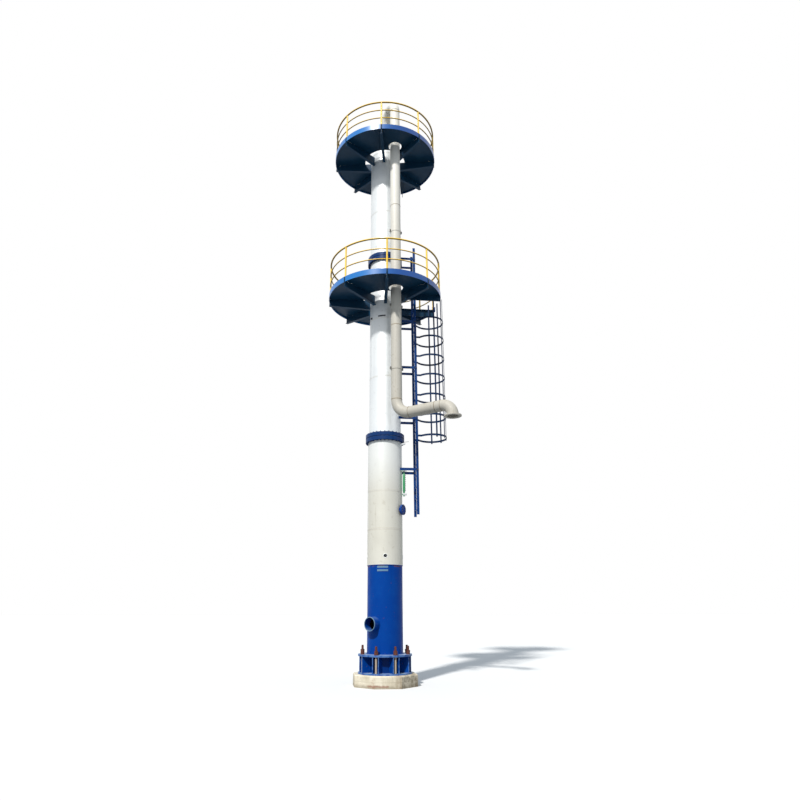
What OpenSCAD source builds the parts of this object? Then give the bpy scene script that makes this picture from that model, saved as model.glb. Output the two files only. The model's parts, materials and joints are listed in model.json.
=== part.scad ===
// Distillation column on its concrete plinth: skirt, flanged shell sections, vapour line,
// two round platforms and caged ladders. Ground level is z = 0 on the column's axis.
// The lower ladder faces +X. Lengths are in millimetres and angles in degrees.

/* [Foundation] */
// Width of the octagonal plinth across its flat sides
plinth_across = 1400; // [1340:10:1700]
// Height of the plinth above the ground
plinth_h = 250; // [150:10:400]
// Chamfer round the plinth's top edge
plinth_chamfer = 20; // [5:1:40]
// Turn of the plinth's first corner from the ladder side
plinth_turn = 22.5; // [0:0.5:45]

/* [Anchor chairs] */
// Outer diameter of the base ring and of the compression ring
ring_d = 1220; // [1200:10:1300]
// Thickness of the base ring
base_ring_t = 30; // [20:1:40]
// Thickness of the compression ring
comp_ring_t = 40; // [25:1:60]
// Height of the chairs, from the plinth to the top of the compression ring
chair_h = 405; // [300:5:500]
// Number of anchor bolts
bolt_count = 8; // [6:1:10]
// Turn of the first anchor bolt from the ladder side
bolt_turn = 18.5; // [0:0.5:40]
// Diameter of the circle through the anchor bolts
bolt_circle_d = 1100; // [1060:5:1110]
// Diameter of an anchor bolt
bolt_d = 48; // [30:1:52]
// Length of thread left above the nuts
bolt_thread_out = 90; // [20:5:150]
// Distance between the two gussets of a chair, centre to centre
gusset_pitch = 135; // [120:1:160]
// Thickness of a gusset
gusset_t = 16; // [10:1:24]

/* [Skirt and shell] */
// Outside diameter of the skirt
skirt_d = 820; // [780:5:840]
// Wall of the skirt
skirt_t = 12; // [8:1:16]
// Height of the skirt's top above the ground
skirt_top = 2575; // [2200:5:2700]
// How far the bottom section stands proud of the skirt
base_step = 10; // [2:1:20]
// Outside diameter of the middle and top sections
shell_d = 800; // [760:5:820]
// Wall of the middle and top sections
shell_t = 10; // [6:1:14]
// Height of the bottom head's tangent line
bottom_head_z = 3020; // [2900:10:3300]
// Height of the lower body flange's joint
lower_joint_z = 5645; // [5500:5:5800]
// Height of the upper body flange's joint
upper_joint_z = 10730; // [10500:5:10900]
// Height of the top head's tangent line over the upper platform
head_over_deck = 110; // [40:10:400]
// Depth of a dished head as a share of its radius
head_ratio = 0.5; // [0.3:0.05:0.5]
// Wall of a dished head
head_t = 12; // [8:1:16]
// How far the lower body flanges stand out from the shell
lower_flange_out = 85; // [60:1:110]
// How far the upper body flanges stand out from the shell
upper_flange_out = 70; // [50:1:100]
// Thickness of one body flange
flange_t = 92; // [60:1:110]
// Thickness of a body gasket
gasket_t = 14; // [4:1:24]

/* [Skirt openings] */
// Height of the access opening's centre
access_z = 1290; // [1100:10:1500]
// Azimuth of the access opening
access_az = -133; // [-150:1:-120]
// Inside diameter of the access sleeve
access_d = 280; // [240:5:340]
// Wall of the access sleeve
access_wall = 10; // [6:1:16]
// Radius from the column's axis to the sleeve's outer end
access_reach = 570; // [500:5:620]
// Height of the skirt vents
vent_z = 2775; // [2700:5:2850]
// Diameter of a skirt vent
vent_d = 86; // [50:1:110]
// Number of skirt vents
vent_count = 4; // [2:1:6]
// Azimuth of the first vent
vent_az = -95; // [-110:1:-80]

/* [Vapour line] */
// Outside diameter of the vapour pipe
pipe_d = 273; // [219:1:280]
// Wall of the vapour pipe
pipe_t = 5; // [3:0.5:10]
// Bend radius of the elbows
bend_r = 381; // [360:1:400]
// Azimuth of the downcomer round the column
pipe_az = -74; // [-80:1:-70]
// Height of the top bend's start over the nozzle's flange joint
bend_rise = 430; // [200:10:600]
// Height of the cross pipe's centre line
cross_z = 6095; // [6000:5:6400]
// Azimuth in which the cross pipe leaves
cross_az = -40; // [-60:1:-35]
// Length of the cross pipe from downcomer to outlet, centre to centre
cross_len = 1530; // [1200:10:2000]
// Bend radius of the short elbow at the outlet
outlet_bend_r = 273; // [250:1:381]
// Outside diameter of the pipe flanges
pipe_flange_d = 405; // [395:1:420]
// Thickness of a pipe flange
pipe_flange_t = 26; // [20:1:36]
// Diameter of the pipe flanges' bolt circle
pipe_bolt_circle = 355; // [345:1:358]
// Number of bolts in a pipe flange
pipe_bolts = 12; // [8:4:16]
// Diameter of a pipe flange's bolt hole
pipe_bolt_hole = 26; // [18:1:28]
// Height of the top nozzle's flange joint over the top head's crown
nozzle_rise = 500; // [200:10:700]
// Length of the outlet's neck below its elbow
outlet_neck = 10; // [5:1:120]
// Heights of the pipe guides
guide_z = [7300, 9050, 11290];
// Width of a guide's clamp
clamp_w = 70; // [40:1:100]
// Thickness of a guide's clamp
clamp_t = 8; // [5:1:12]

/* [Platforms] */
// Height of the lower platform's walking surface
lower_deck_z = 9580; // [9400:10:9700]
// Radius of the lower platform
lower_deck_r = 1520; // [1450:10:1600]
// Azimuth of the lower platform's hatch
lower_hatch_az = 0; // [-5:1:5]
// Turn of the lower brackets from an even spacing
lower_bracket_turn = -4; // [-5:1:5]
// Height of the upper platform's walking surface
upper_deck_z = 14140; // [14000:5:14300]
// Radius of the upper platform
upper_deck_r = 1460; // [1400:10:1600]
// Azimuth of the upper platform's hatch
upper_hatch_az = 80; // [75:1:85]
// Turn of the upper brackets from an even spacing
upper_bracket_turn = 0; // [-5:1:5]
// Radius of the round hole in the decks
deck_hole_r = 580; // [560:10:650]
// Thickness of the deck plate
deck_t = 8; // [5:1:12]
// Joint left between two deck plates
deck_joint = 6; // [2:1:12]
// Diameter of the hole for the vapour pipe
pipe_hole_d = 370; // [330:10:400]
// Height of the toe plate above the deck
toe_up = 100; // [80:5:150]
// Height of the toe plate below the deck's top
toe_down = 50; // [30:2:80]
// Thickness of the toe plate
toe_t = 8; // [5:1:10]
// Number of equal angles between the brackets and the hatch
bracket_steps = 8; // [8:1:8]
// Depth of a bracket at the shell
bracket_root = 280; // [200:10:560]
// Depth of a bracket at the rim
bracket_tip = 180; // [140:5:220]
// Thickness of a bracket's web
bracket_t = 12; // [8:1:16]
// Width of a bracket's bottom flange
bracket_flange_w = 80; // [50:5:100]
// Thickness of a bracket's bottom flange
bracket_flange_t = 10; // [6:1:14]
// Half the width of the ladder hatches
hatch_half = 400; // [390:5:450]
// Depth of the beams along a hatch
hatch_beam_h = 180; // [100:5:200]
// Thickness of the beams along a hatch
hatch_beam_t = 12; // [8:1:16]

/* [Guard rails] */
// Height of the lower top rail's centre above its deck
lower_rail_h = 990; // [900:10:1100]
// Height of the upper top rail's centre above its deck
upper_rail_h = 890; // [850:10:1100]
// Heights of the middle rails as shares of the rail's height
mid_shares = [0.39, 0.69];
// Diameter of the posts
post_d = 45; // [38:1:50]
// Diameter of the top rail
rail_d = 45; // [38:1:50]
// Diameter of the middle rails
mid_d = 30; // [20:1:34]

/* [Ladders] */
// Radius from the column's axis to the middle of a ladder
ladder_r = 780; // [740:5:800]
// Distance between the stringers, centre to centre
ladder_w = 450; // [400:5:480]
// Width of a stringer
stringer_w = 65; // [50:1:80]
// Thickness of a stringer
stringer_t = 10; // [8:1:14]
// Diameter of a rung
rung_d = 22; // [18:1:28]
// Distance between rungs
rung_pitch = 280; // [250:5:300]
// Height of the lower ladder's foot
ladder_foot_z = 3760; // [3600:10:4000]
// How far the lower ladder rises over its deck
lower_rise = 1560; // [1000:10:1700]
// How far the upper ladder rises over its deck
upper_rise = 900; // [800:10:1100]
// Heights of the lower ladder's wall brackets
lower_bracket_z = [4860, 6180, 7550, 8870];
// Heights of the upper ladder's wall brackets
upper_bracket_z = [10240, 11600, 12900];
// Outside radius of the cage hoops
hoop_r = 380; // [350:5:385]
// Distance from the ladder to the middle of the cage
hoop_reach = 420; // [400:5:440]
// Height of the bars of the cage hoops
hoop_h = 50; // [40:1:60]
// Thickness of the bars of the cage
hoop_t = 6; // [5:1:8]
// Distance between cage hoops
hoop_pitch = 540; // [450:10:600]
// Height of the lower cage's bottom hoop
lower_cage_z = 5700; // [5600:10:6200]
// Height of the upper cage's bottom hoop
upper_cage_z = 11780; // [11700:10:12200]
// Angle between the cage's straps
strap_step = 40; // [30:1:45]
// Width of a strap
strap_w = 40; // [30:1:50]

/* [Nozzles and gauge] */
// Height of the drain nozzle
drain_z = 3860; // [3750:10:3900]
// Azimuth of the drain nozzle
drain_az = -33; // [-40:1:-28]
// Outside diameter of the drain nozzle's neck
drain_neck_d = 140; // [90:1:150]
// Diameter of the drain nozzle's flange and its blind
drain_flange_d = 250; // [220:1:270]
// Thickness of the drain nozzle's flange and its blind
drain_flange_t = 22; // [16:1:28]
// Radius from the column's axis to the drain nozzle's joint
drain_reach = 478; // [470:1:540]
// Azimuth of the level gauge
gauge_az = -18; // [-24:1:-16]
// Height of the level gauge's lower branch
gauge_low_z = 4250; // [4200:10:4300]
// Height of the level gauge's upper branch
gauge_high_z = 4830; // [4700:10:4900]
// Radius from the column's axis to the gauge glass
gauge_r = 475; // [470:1:500]
// Diameter of the gauge glass
gauge_d = 50; // [30:1:60]
// Height of the instrument branch
branch_z = 5470; // [5300:10:5480]
// Azimuth of the instrument branch
branch_az = -36; // [-45:1:-30]
// Diameter of the small branch pipes
branch_d = 34; // [22:1:40]

/* [Hidden] */
$fn = 64;
arc_fn = 144;
round_fn = 20;
seat = 0.3;
skirt_r = skirt_d / 2;
skirt_in_r = skirt_r - skirt_t;
base_r = skirt_r + base_step;
shell_r = shell_d / 2;
shell_in_r = shell_r - shell_t;
ring_r = ring_d / 2;
lower_flange_r = shell_r + lower_flange_out;
upper_flange_r = shell_r + upper_flange_out;
ring_z = plinth_h + base_ring_t;
chair_top = plinth_h + chair_h;
comp_ring_z = chair_top - comp_ring_t;
base_ring_in_r = skirt_in_r - 50;
bolt_hole_d = bolt_d + 6;
nut_h = 0.8 * bolt_d;
nut_across = 1.65 * bolt_d;
washer_t = 10;
washer_d = 2 * bolt_d;
gusset_reach = ring_r - 15;
gusset_snipe = 25;
joint_gap = gasket_t / 2;
lower_ring_z = lower_joint_z - joint_gap - flange_t;
lower_ring_top = lower_joint_z + joint_gap + flange_t;
upper_ring_z = upper_joint_z - joint_gap - flange_t;
upper_ring_top = upper_joint_z + joint_gap + flange_t;
gasket_inset = 35;
top_head_z = upper_deck_z + head_over_deck;
top_head_h = head_ratio * shell_r;
head_skirt = 40;
pipe_r = pipe_d / 2;
pipe_in_r = pipe_r - pipe_t;
downcomer_r = 2 * bend_r;
nozzle_joint_z = top_head_z + top_head_h + nozzle_rise;
top_bend_z = nozzle_joint_z + bend_rise;
downcomer_bottom = cross_z + bend_r;
outlet_elbow_z = cross_z - outlet_bend_r;
outlet_face_z = outlet_elbow_z - outlet_neck - pipe_flange_t;
pipe_gasket = 3;
clamp_r = pipe_r + seat + clamp_t;
guide_h = 160;
access_out_r = access_d / 2 + access_wall;
deck_angles_end = bracket_steps - 1;
hatch_post_inset = 60;
ladder_edge = ladder_w / 2 + stringer_t / 2;
wall_bar_t = 10;
wall_bar_h = 65;
hoop_x = ladder_r + hoop_reach;
hoop_in_r = hoop_r - hoop_t;
strap_r = sqrt(pow(hoop_in_r - 0.1, 2) - pow(strap_w / 2, 2)) - hoop_t;
lower_cage_top = lower_deck_z - 70;
upper_cage_top = upper_deck_z - 70;
strap_over = 120;
drain_in_r = drain_neck_d / 2 - 8;
drain_bolts = 8;
cock_d = 56;
cock_l = 46;
far = 2 * lower_deck_r;

steel_blue = [0.04, 0.27, 0.65];
dark_blue = [0.05, 0.14, 0.38];
satin_steel = [0.78, 0.79, 0.80];
pipe_steel = [0.80, 0.76, 0.70];
rail_yellow = [0.93, 0.76, 0.20];
bolt_rust = [0.55, 0.27, 0.18];
concrete = [0.86, 0.81, 0.70];

// Angle in degrees that a length takes on a circle
function arc_angle(length, radius) = length / radius * 180 / PI;

// Angles of the brackets, counted from the hatch
function bracket_angles(turn) = [for (i = [1 : deck_angles_end]) i * 360 / bracket_steps + turn];

// Radius on which the posts and rails stand
function rail_r(deck_r) = deck_r - toe_t - seat - post_d / 2;

// Angle from the hatch's middle to the post beside it
function hatch_post_angle(deck_r) = asin((hatch_half + hatch_post_inset) / rail_r(deck_r));

// All post angles in order, counted from the hatch
function post_angles(deck_r, turn) =
    concat([hatch_post_angle(deck_r)], bracket_angles(turn), [360 - hatch_post_angle(deck_r)]);

module tube(outer_r, inner_r, low, high) {
    translate([0, 0, low]) difference() {
        cylinder(r = outer_r, h = high - low);
        translate([0, 0, -1]) cylinder(r = inner_r, h = high - low + 2);
    }
}

module flat_ring(outer_r, inner_r, low, thick, hole_d, hole_circle, hole_count, hole_turn) {
    difference() {
        tube(outer_r, inner_r, low, low + thick);
        for (i = [0 : hole_count - 1])
            rotate(hole_turn + i * 360 / hole_count)
                translate([hole_circle / 2, 0, low - 1]) cylinder(d = hole_d, h = thick + 2);
    }
}

// Half ellipse of revolution with a short straight rim, crown up
module dished_head(outer_r, wall, rim) {
    depth = head_ratio * outer_r;
    steps = [0 : 7.5 : 90];
    outside = [for (a = steps) [outer_r * cos(a), depth * sin(a)]];
    inside = [for (a = steps) [(outer_r - wall) * sin(a), (depth - wall) * cos(a)]];
    rotate_extrude()
        polygon(concat(outside, inside, [[outer_r - wall, -rim], [outer_r, -rim]]));
}

module plinth() {
    corner_r = plinth_across / 2 / cos(180 / 8);
    edge = plinth_across / 2;
    color(concrete) difference() {
        rotate(plinth_turn) cylinder(r = corner_r, h = plinth_h, $fn = 8);
        for (i = [0 : 7])
            rotate(plinth_turn + 22.5 + i * 45)
                translate([edge, 0, plinth_h]) rotate([0, 45, 0])
                    cube([plinth_chamfer * sqrt(2), edge, plinth_chamfer * sqrt(2)], center = true);
    }
}

module base_ring() {
    color(steel_blue)
        flat_ring(ring_r, base_ring_in_r, plinth_h, base_ring_t,
            bolt_hole_d, bolt_circle_d, bolt_count, bolt_turn);
}

module compression_ring() {
    color(steel_blue)
        flat_ring(ring_r, skirt_r + seat, comp_ring_z, comp_ring_t,
            bolt_hole_d, bolt_circle_d, bolt_count, bolt_turn);
}

// Upright plate between the two rings, with its inner corners snipped for the welds
module gusset() {
    height = comp_ring_z - ring_z;
    inner = skirt_r - 30;
    translate([0, gusset_t / 2, ring_z]) rotate([90, 0, 0]) linear_extrude(gusset_t)
        difference() {
            translate([inner, 0]) square([gusset_reach - inner, height]);
            for (y = [0, height])
                translate([skirt_r, y]) rotate(45) square(gusset_snipe * sqrt(2), center = true);
        }
}

module anchor_gussets() {
    color(steel_blue) difference() {
        for (i = [0 : bolt_count - 1])
            rotate(bolt_turn + i * 360 / bolt_count)
                for (side = [-1, 1])
                    translate([0, side * gusset_pitch / 2, 0]) gusset();
        translate([0, 0, plinth_h]) cylinder(r = skirt_r + seat, h = chair_h);
    }
}

module anchor_bolts() {
    color(bolt_rust)
        for (i = [0 : bolt_count - 1])
            rotate(bolt_turn + i * 360 / bolt_count)
                translate([bolt_circle_d / 2, 0, 0]) {
                    translate([0, 0, plinth_h])
                        cylinder(d = bolt_d, h = chair_h + washer_t + 2 * nut_h + bolt_thread_out);
                    translate([0, 0, chair_top]) cylinder(d = washer_d, h = washer_t);
                    translate([0, 0, chair_top + washer_t])
                        cylinder(d = nut_across / cos(30), h = nut_h, $fn = 6);
                    translate([0, 0, chair_top + washer_t + nut_h])
                        rotate(20) cylinder(d = nut_across / cos(30), h = nut_h, $fn = 6);
                }
}

module skirt() {
    color(steel_blue) difference() {
        tube(skirt_r, skirt_in_r, ring_z, skirt_top);
        rotate(access_az) translate([0, 0, access_z]) rotate([0, 90, 0])
            cylinder(r = access_out_r + seat, h = far);
    }
}

module access_sleeve() {
    inner = skirt_in_r - 20;
    color(steel_blue) rotate(access_az) translate([inner, 0, access_z]) rotate([0, 90, 0])
        tube(access_out_r, access_d / 2, 0, access_reach - inner);
}

module base_shell() {
    color(satin_steel) difference() {
        rotate(vent_az + 180 / vent_count) tube(base_r, skirt_in_r, skirt_top, lower_ring_z);
        for (i = [0 : vent_count - 1])
            rotate(vent_az + i * 360 / vent_count)
                translate([0, 0, vent_z]) rotate([0, 90, 0]) rotate(90)
                    cylinder(d = vent_d, h = far);
    }
}

module bottom_head() {
    color(satin_steel) translate([0, 0, bottom_head_z]) mirror([0, 0, 1])
        dished_head(skirt_in_r - seat, head_t, head_skirt);
}

module middle_shell() {
    color(satin_steel) tube(shell_r, shell_in_r, lower_ring_top, upper_ring_z);
}

module top_shell() {
    color(satin_steel) tube(shell_r, shell_in_r, upper_ring_top, top_head_z - head_skirt);
}

module top_head() {
    color(satin_steel) difference() {
        translate([0, 0, top_head_z]) dished_head(shell_r, head_t, head_skirt);
        translate([0, 0, top_head_z]) cylinder(r = pipe_r + seat, h = 2 * top_head_h);
    }
}

module body_flange_pair(joint_z, outer_r) {
    tube(outer_r, shell_in_r, joint_z - joint_gap - flange_t, joint_z - joint_gap);
    tube(outer_r, shell_in_r, joint_z + joint_gap, joint_z + joint_gap + flange_t);
}

module lower_body_flanges() {
    color(steel_blue) body_flange_pair(lower_joint_z, lower_flange_r);
}

module upper_body_flanges() {
    color(steel_blue) body_flange_pair(upper_joint_z, upper_flange_r);
}

module body_gasket(joint_z, outer_r) {
    tube(outer_r - gasket_inset, shell_in_r, joint_z - joint_gap, joint_z + joint_gap);
}

module body_gaskets() {
    color(satin_steel) {
        body_gasket(lower_joint_z, lower_flange_r);
        body_gasket(upper_joint_z, upper_flange_r);
    }
}

module pipe_flange(low) {
    flat_ring(pipe_flange_d / 2, pipe_in_r, low, pipe_flange_t,
        pipe_bolt_hole, pipe_bolt_circle, pipe_bolts, 180 / pipe_bolts);
}

// Pipe elbow about the origin, in the XZ plane, from the +X side towards +Z
module elbow(sweep, radius) {
    rotate([90, 0, 0]) rotate_extrude(angle = sweep) translate([radius, 0])
        difference() {
            circle(r = pipe_r);
            circle(r = pipe_in_r);
        }
}

module top_nozzle() {
    color(pipe_steel) {
        tube(pipe_r, pipe_in_r, top_head_z + top_head_h - 45,
            nozzle_joint_z - pipe_gasket / 2 - pipe_flange_t);
        pipe_flange(nozzle_joint_z - pipe_gasket / 2 - pipe_flange_t);
    }
}

module vapour_return_bend() {
    color(pipe_steel) {
        pipe_flange(nozzle_joint_z + pipe_gasket / 2);
        tube(pipe_r, pipe_in_r, nozzle_joint_z + pipe_gasket / 2 + pipe_flange_t, top_bend_z);
        rotate(pipe_az) translate([bend_r, 0, top_bend_z]) elbow(180, bend_r);
    }
}

module vapour_downcomer() {
    color(pipe_steel) rotate(pipe_az) translate([downcomer_r, 0, 0])
        tube(pipe_r, pipe_in_r, downcomer_bottom, top_bend_z);
}

module on_cross_line(distance) {
    rotate(pipe_az) translate([downcomer_r, 0, 0]) rotate(cross_az - pipe_az)
        translate([distance, 0, 0]) children();
}

module vapour_lower_elbow() {
    color(pipe_steel) on_cross_line(bend_r) translate([0, 0, cross_z + bend_r])
        rotate([0, 180, 0]) elbow(90, bend_r);
}

module vapour_cross_pipe() {
    color(pipe_steel) on_cross_line(bend_r) translate([0, 0, cross_z]) rotate([0, 90, 0])
        tube(pipe_r, pipe_in_r, 0, cross_len - bend_r - outlet_bend_r);
}

module vapour_outlet_elbow() {
    color(pipe_steel) on_cross_line(cross_len - outlet_bend_r)
        translate([0, 0, outlet_elbow_z]) elbow(90, outlet_bend_r);
}

module vapour_outlet_flange() {
    color(pipe_steel) on_cross_line(cross_len) {
        tube(pipe_r, pipe_in_r, outlet_face_z + pipe_flange_t, outlet_elbow_z);
        pipe_flange(outlet_face_z);
    }
}

// Clamp round the downcomer, carried by an upright plate from the shell
module pipe_guide() {
    difference() {
        union() {
            translate([downcomer_r, 0, -clamp_w / 2]) cylinder(r = clamp_r, h = clamp_w);
            translate([shell_r - 50, -6, -guide_h / 2])
                cube([downcomer_r - clamp_r - shell_r + 52, 12, guide_h]);
        }
        translate([downcomer_r, 0, -guide_h]) cylinder(r = pipe_r + seat, h = 2 * guide_h);
        translate([0, 0, -guide_h]) cylinder(r = shell_r + seat, h = 2 * guide_h);
    }
}

module vapour_guides() {
    color(satin_steel) rotate(pipe_az)
        for (z = guide_z) translate([0, 0, z]) pipe_guide();
}

// Tapered bracket from the shell to the rim, top edge at z = 0
module deck_bracket(deck_r) {
    root_r = shell_r - 50;
    tip_r = deck_r - toe_t - seat;
    difference() {
        rotate([90, 0, 0]) union() {
            translate([0, 0, -bracket_t / 2]) linear_extrude(bracket_t)
                polygon([[root_r, 0], [tip_r, 0], [tip_r, -bracket_tip], [root_r, -bracket_root]]);
            translate([0, 0, -bracket_flange_w / 2]) linear_extrude(bracket_flange_w)
                polygon([[root_r, -bracket_root], [tip_r, -bracket_tip],
                    [tip_r, -bracket_tip - bracket_flange_t],
                    [root_r, -bracket_root - bracket_flange_t]]);
        }
        translate([0, 0, -2 * bracket_root]) cylinder(r = shell_r + seat, h = 3 * bracket_root);
    }
}

module deck_brackets(deck_z, deck_r, hatch_az, turn) {
    for (a = bracket_angles(turn))
        rotate(hatch_az + a) translate([0, 0, deck_z - deck_t]) deck_bracket(deck_r);
}

// Deck plates between the brackets, cut for the hatch and the vapour pipe
module deck_plates(deck_z, deck_r, hatch_az, turn) {
    angles = concat([0], bracket_angles(turn), [360]);
    edge_r = deck_r - toe_t - seat;
    gap = arc_angle(deck_joint / 2, deck_hole_r);
    difference() {
        rotate(hatch_az) difference() {
            for (i = [0 : len(angles) - 2])
                rotate(angles[i] + gap) translate([0, 0, deck_z - deck_t])
                    rotate_extrude(angle = angles[i + 1] - angles[i] - 2 * gap, $fn = arc_fn)
                        translate([deck_hole_r, 0]) square([edge_r - deck_hole_r, deck_t]);
            translate([0, -hatch_half, deck_z - 2 * deck_t])
                cube([far, 2 * hatch_half, 4 * deck_t]);
        }
        rotate(pipe_az) translate([downcomer_r, 0, deck_z - 2 * deck_t])
            cylinder(d = pipe_hole_d, h = 4 * deck_t);
    }
}

// Upright rim plates, one between each pair of brackets
module toe_plates(deck_z, deck_r, hatch_az, turn) {
    start = asin(hatch_half / deck_r);
    angles = concat([start], bracket_angles(turn), [360 - start]);
    gap = arc_angle(1, deck_r);
    for (i = [0 : len(angles) - 2])
        rotate(hatch_az + angles[i] + gap) translate([0, 0, deck_z - toe_down])
            rotate_extrude(angle = angles[i + 1] - angles[i] - 2 * gap, $fn = arc_fn)
                translate([deck_r - toe_t, 0]) square([toe_t, toe_up + toe_down]);
}

module rail_posts(deck_z, deck_r, hatch_az, turn, height) {
    for (a = post_angles(deck_r, turn))
        rotate(hatch_az + a) translate([rail_r(deck_r), 0, deck_z])
            cylinder(d = post_d, h = height - rail_d / 2);
}

// One bent bar between each pair of posts, and one across the hatch
module rail_arcs(z, deck_r, hatch_az, turn, bar_d, end_gap) {
    angles = concat(post_angles(deck_r, turn), [360 + hatch_post_angle(deck_r)]);
    gap = arc_angle(end_gap, rail_r(deck_r));
    for (i = [0 : len(angles) - 2])
        rotate(hatch_az + angles[i] + gap) translate([0, 0, z])
            rotate_extrude(angle = angles[i + 1] - angles[i] - 2 * gap, $fn = arc_fn)
                translate([rail_r(deck_r), 0]) circle(d = bar_d, $fn = round_fn);
}

module lower_deck_brackets() {
    color(dark_blue)
        deck_brackets(lower_deck_z, lower_deck_r, lower_hatch_az, lower_bracket_turn);
}

module lower_deck() {
    color(dark_blue) deck_plates(lower_deck_z, lower_deck_r, lower_hatch_az, lower_bracket_turn);
}

module lower_toe_plates() {
    color(steel_blue) toe_plates(lower_deck_z, lower_deck_r, lower_hatch_az, lower_bracket_turn);
}

module lower_rail_posts() {
    color(rail_yellow) rail_posts(lower_deck_z, lower_deck_r, lower_hatch_az,
        lower_bracket_turn, lower_rail_h);
}

module lower_top_rail() {
    color(rail_yellow)
        rail_arcs(lower_deck_z + lower_rail_h, lower_deck_r, lower_hatch_az,
            lower_bracket_turn, rail_d, seat);
}

module lower_mid_rails() {
    color(rail_yellow) for (share = mid_shares)
        rail_arcs(lower_deck_z + share * lower_rail_h, lower_deck_r, lower_hatch_az,
            lower_bracket_turn, mid_d, post_d / 2 + seat);
}

module upper_deck_brackets() {
    color(dark_blue)
        deck_brackets(upper_deck_z, upper_deck_r, upper_hatch_az, upper_bracket_turn);
}

module upper_deck() {
    color(dark_blue) deck_plates(upper_deck_z, upper_deck_r, upper_hatch_az, upper_bracket_turn);
}

module upper_toe_plates() {
    color(steel_blue) toe_plates(upper_deck_z, upper_deck_r, upper_hatch_az, upper_bracket_turn);
}

module upper_rail_posts() {
    color(rail_yellow) rail_posts(upper_deck_z, upper_deck_r, upper_hatch_az,
        upper_bracket_turn, upper_rail_h);
}

module upper_top_rail() {
    color(rail_yellow)
        rail_arcs(upper_deck_z + upper_rail_h, upper_deck_r, upper_hatch_az,
            upper_bracket_turn, rail_d, seat);
}

module upper_mid_rails() {
    color(rail_yellow) for (share = mid_shares)
        rail_arcs(upper_deck_z + share * upper_rail_h, upper_deck_r, upper_hatch_az,
            upper_bracket_turn, mid_d, post_d / 2 + seat);
}

// Beam along one side of a hatch, under its post, from the next bracket's web to the rim
module hatch_side_beam(deck_r, bracket_angle) {
    beam_y = hatch_half + hatch_post_inset - hatch_beam_t / 2;
    reach = sqrt(pow(deck_r - toe_t - seat, 2) - pow(beam_y + hatch_beam_t, 2));
    difference() {
        translate([0, beam_y, -hatch_beam_h]) cube([reach, hatch_beam_t, hatch_beam_h]);
        rotate(bracket_angle) translate([0, -bracket_t / 2 - seat, -2 * hatch_beam_h])
            cube([far, far, 3 * hatch_beam_h]);
        translate([-far, 0, -2 * hatch_beam_h]) cube([far + 100, far, 3 * hatch_beam_h]);
    }
}

module hatch_frame(deck_z, deck_r, hatch_az, turn) {
    angles = bracket_angles(turn);
    translate([0, 0, deck_z - deck_t]) rotate(hatch_az) {
        hatch_side_beam(deck_r, angles[0]);
        mirror([0, 1, 0]) hatch_side_beam(deck_r, 360 - angles[len(angles) - 1]);
    }
}

module hatch_side_beams() {
    color(dark_blue) {
        hatch_frame(lower_deck_z, lower_deck_r, lower_hatch_az, lower_bracket_turn);
        hatch_frame(upper_deck_z, upper_deck_r, upper_hatch_az, upper_bracket_turn);
    }
}

module stringer_pair(low, high) {
    for (side = [-1, 1])
        translate([ladder_r - stringer_w / 2, side * ladder_w / 2 - stringer_t / 2, low])
            cube([stringer_w, stringer_t, high - low]);
}

module ladder_stringers() {
    color(dark_blue) {
        rotate(lower_hatch_az) stringer_pair(ladder_foot_z, lower_deck_z + lower_rise);
        rotate(upper_hatch_az) stringer_pair(lower_deck_z, upper_deck_z + upper_rise);
    }
}

module rung_row(low, high) {
    length = ladder_w - stringer_t - 2 * seat;
    for (z = [low + rung_pitch / 2 : rung_pitch : high - rung_d])
        translate([ladder_r, -length / 2, z]) rotate([-90, 0, 0])
            cylinder(d = rung_d, h = length, $fn = 16);
}

module ladder_rungs() {
    color(dark_blue) {
        rotate(lower_hatch_az) rung_row(ladder_foot_z, lower_deck_z + 100);
        rotate(upper_hatch_az) rung_row(lower_deck_z, upper_deck_z + 100);
    }
}

// Pair of flat bars from the wall to the stringers' outer faces
module wall_bars(wall_r) {
    difference() {
        for (side = [-1, 1])
            translate([0, side * (ladder_edge + wall_bar_t / 2) - wall_bar_t / 2, -wall_bar_h / 2])
                cube([ladder_r + stringer_w / 2, wall_bar_t, wall_bar_h]);
        translate([0, 0, -wall_bar_h]) cylinder(r = wall_r + seat, h = 2 * wall_bar_h);
    }
}

module ladder_brackets() {
    color(dark_blue) {
        rotate(lower_hatch_az) {
            for (z = lower_bracket_z)
                translate([0, 0, z]) wall_bars(z < lower_ring_z ? base_r : shell_r);
            translate([0, 0, upper_joint_z + joint_gap + flange_t / 2])
                wall_bars(upper_flange_r);
        }
        rotate(upper_hatch_az)
            for (z = upper_bracket_z) translate([0, 0, z]) wall_bars(shell_r);
    }
}

// Open hoop with two legs that reach back to the stringers
module hoop() {
    leg_start = ladder_r + stringer_w / 2 + seat;
    leg_y = ladder_w / 2;
    cut_x = hoop_x - sqrt(pow(hoop_in_r, 2) - pow(leg_y, 2));
    linear_extrude(hoop_h) {
        difference() {
            translate([hoop_x, 0]) circle(r = hoop_r);
            translate([hoop_x, 0]) circle(r = hoop_in_r);
            translate([leg_start - hoop_r, -hoop_r]) square([cut_x - leg_start + hoop_r, 2 * hoop_r]);
        }
        for (side = [-1, 1])
            translate([leg_start, side * leg_y - hoop_t / 2])
                square([cut_x - leg_start + 1, hoop_t]);
    }
}

module cage_row(low, high) {
    for (z = [low : hoop_pitch : high - hoop_h]) translate([0, 0, z]) hoop();
}

module cage_hoops() {
    color(dark_blue) {
        rotate(lower_hatch_az) cage_row(lower_cage_z, lower_cage_top);
        rotate(upper_hatch_az) cage_row(upper_cage_z, upper_cage_top);
    }
}

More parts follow.
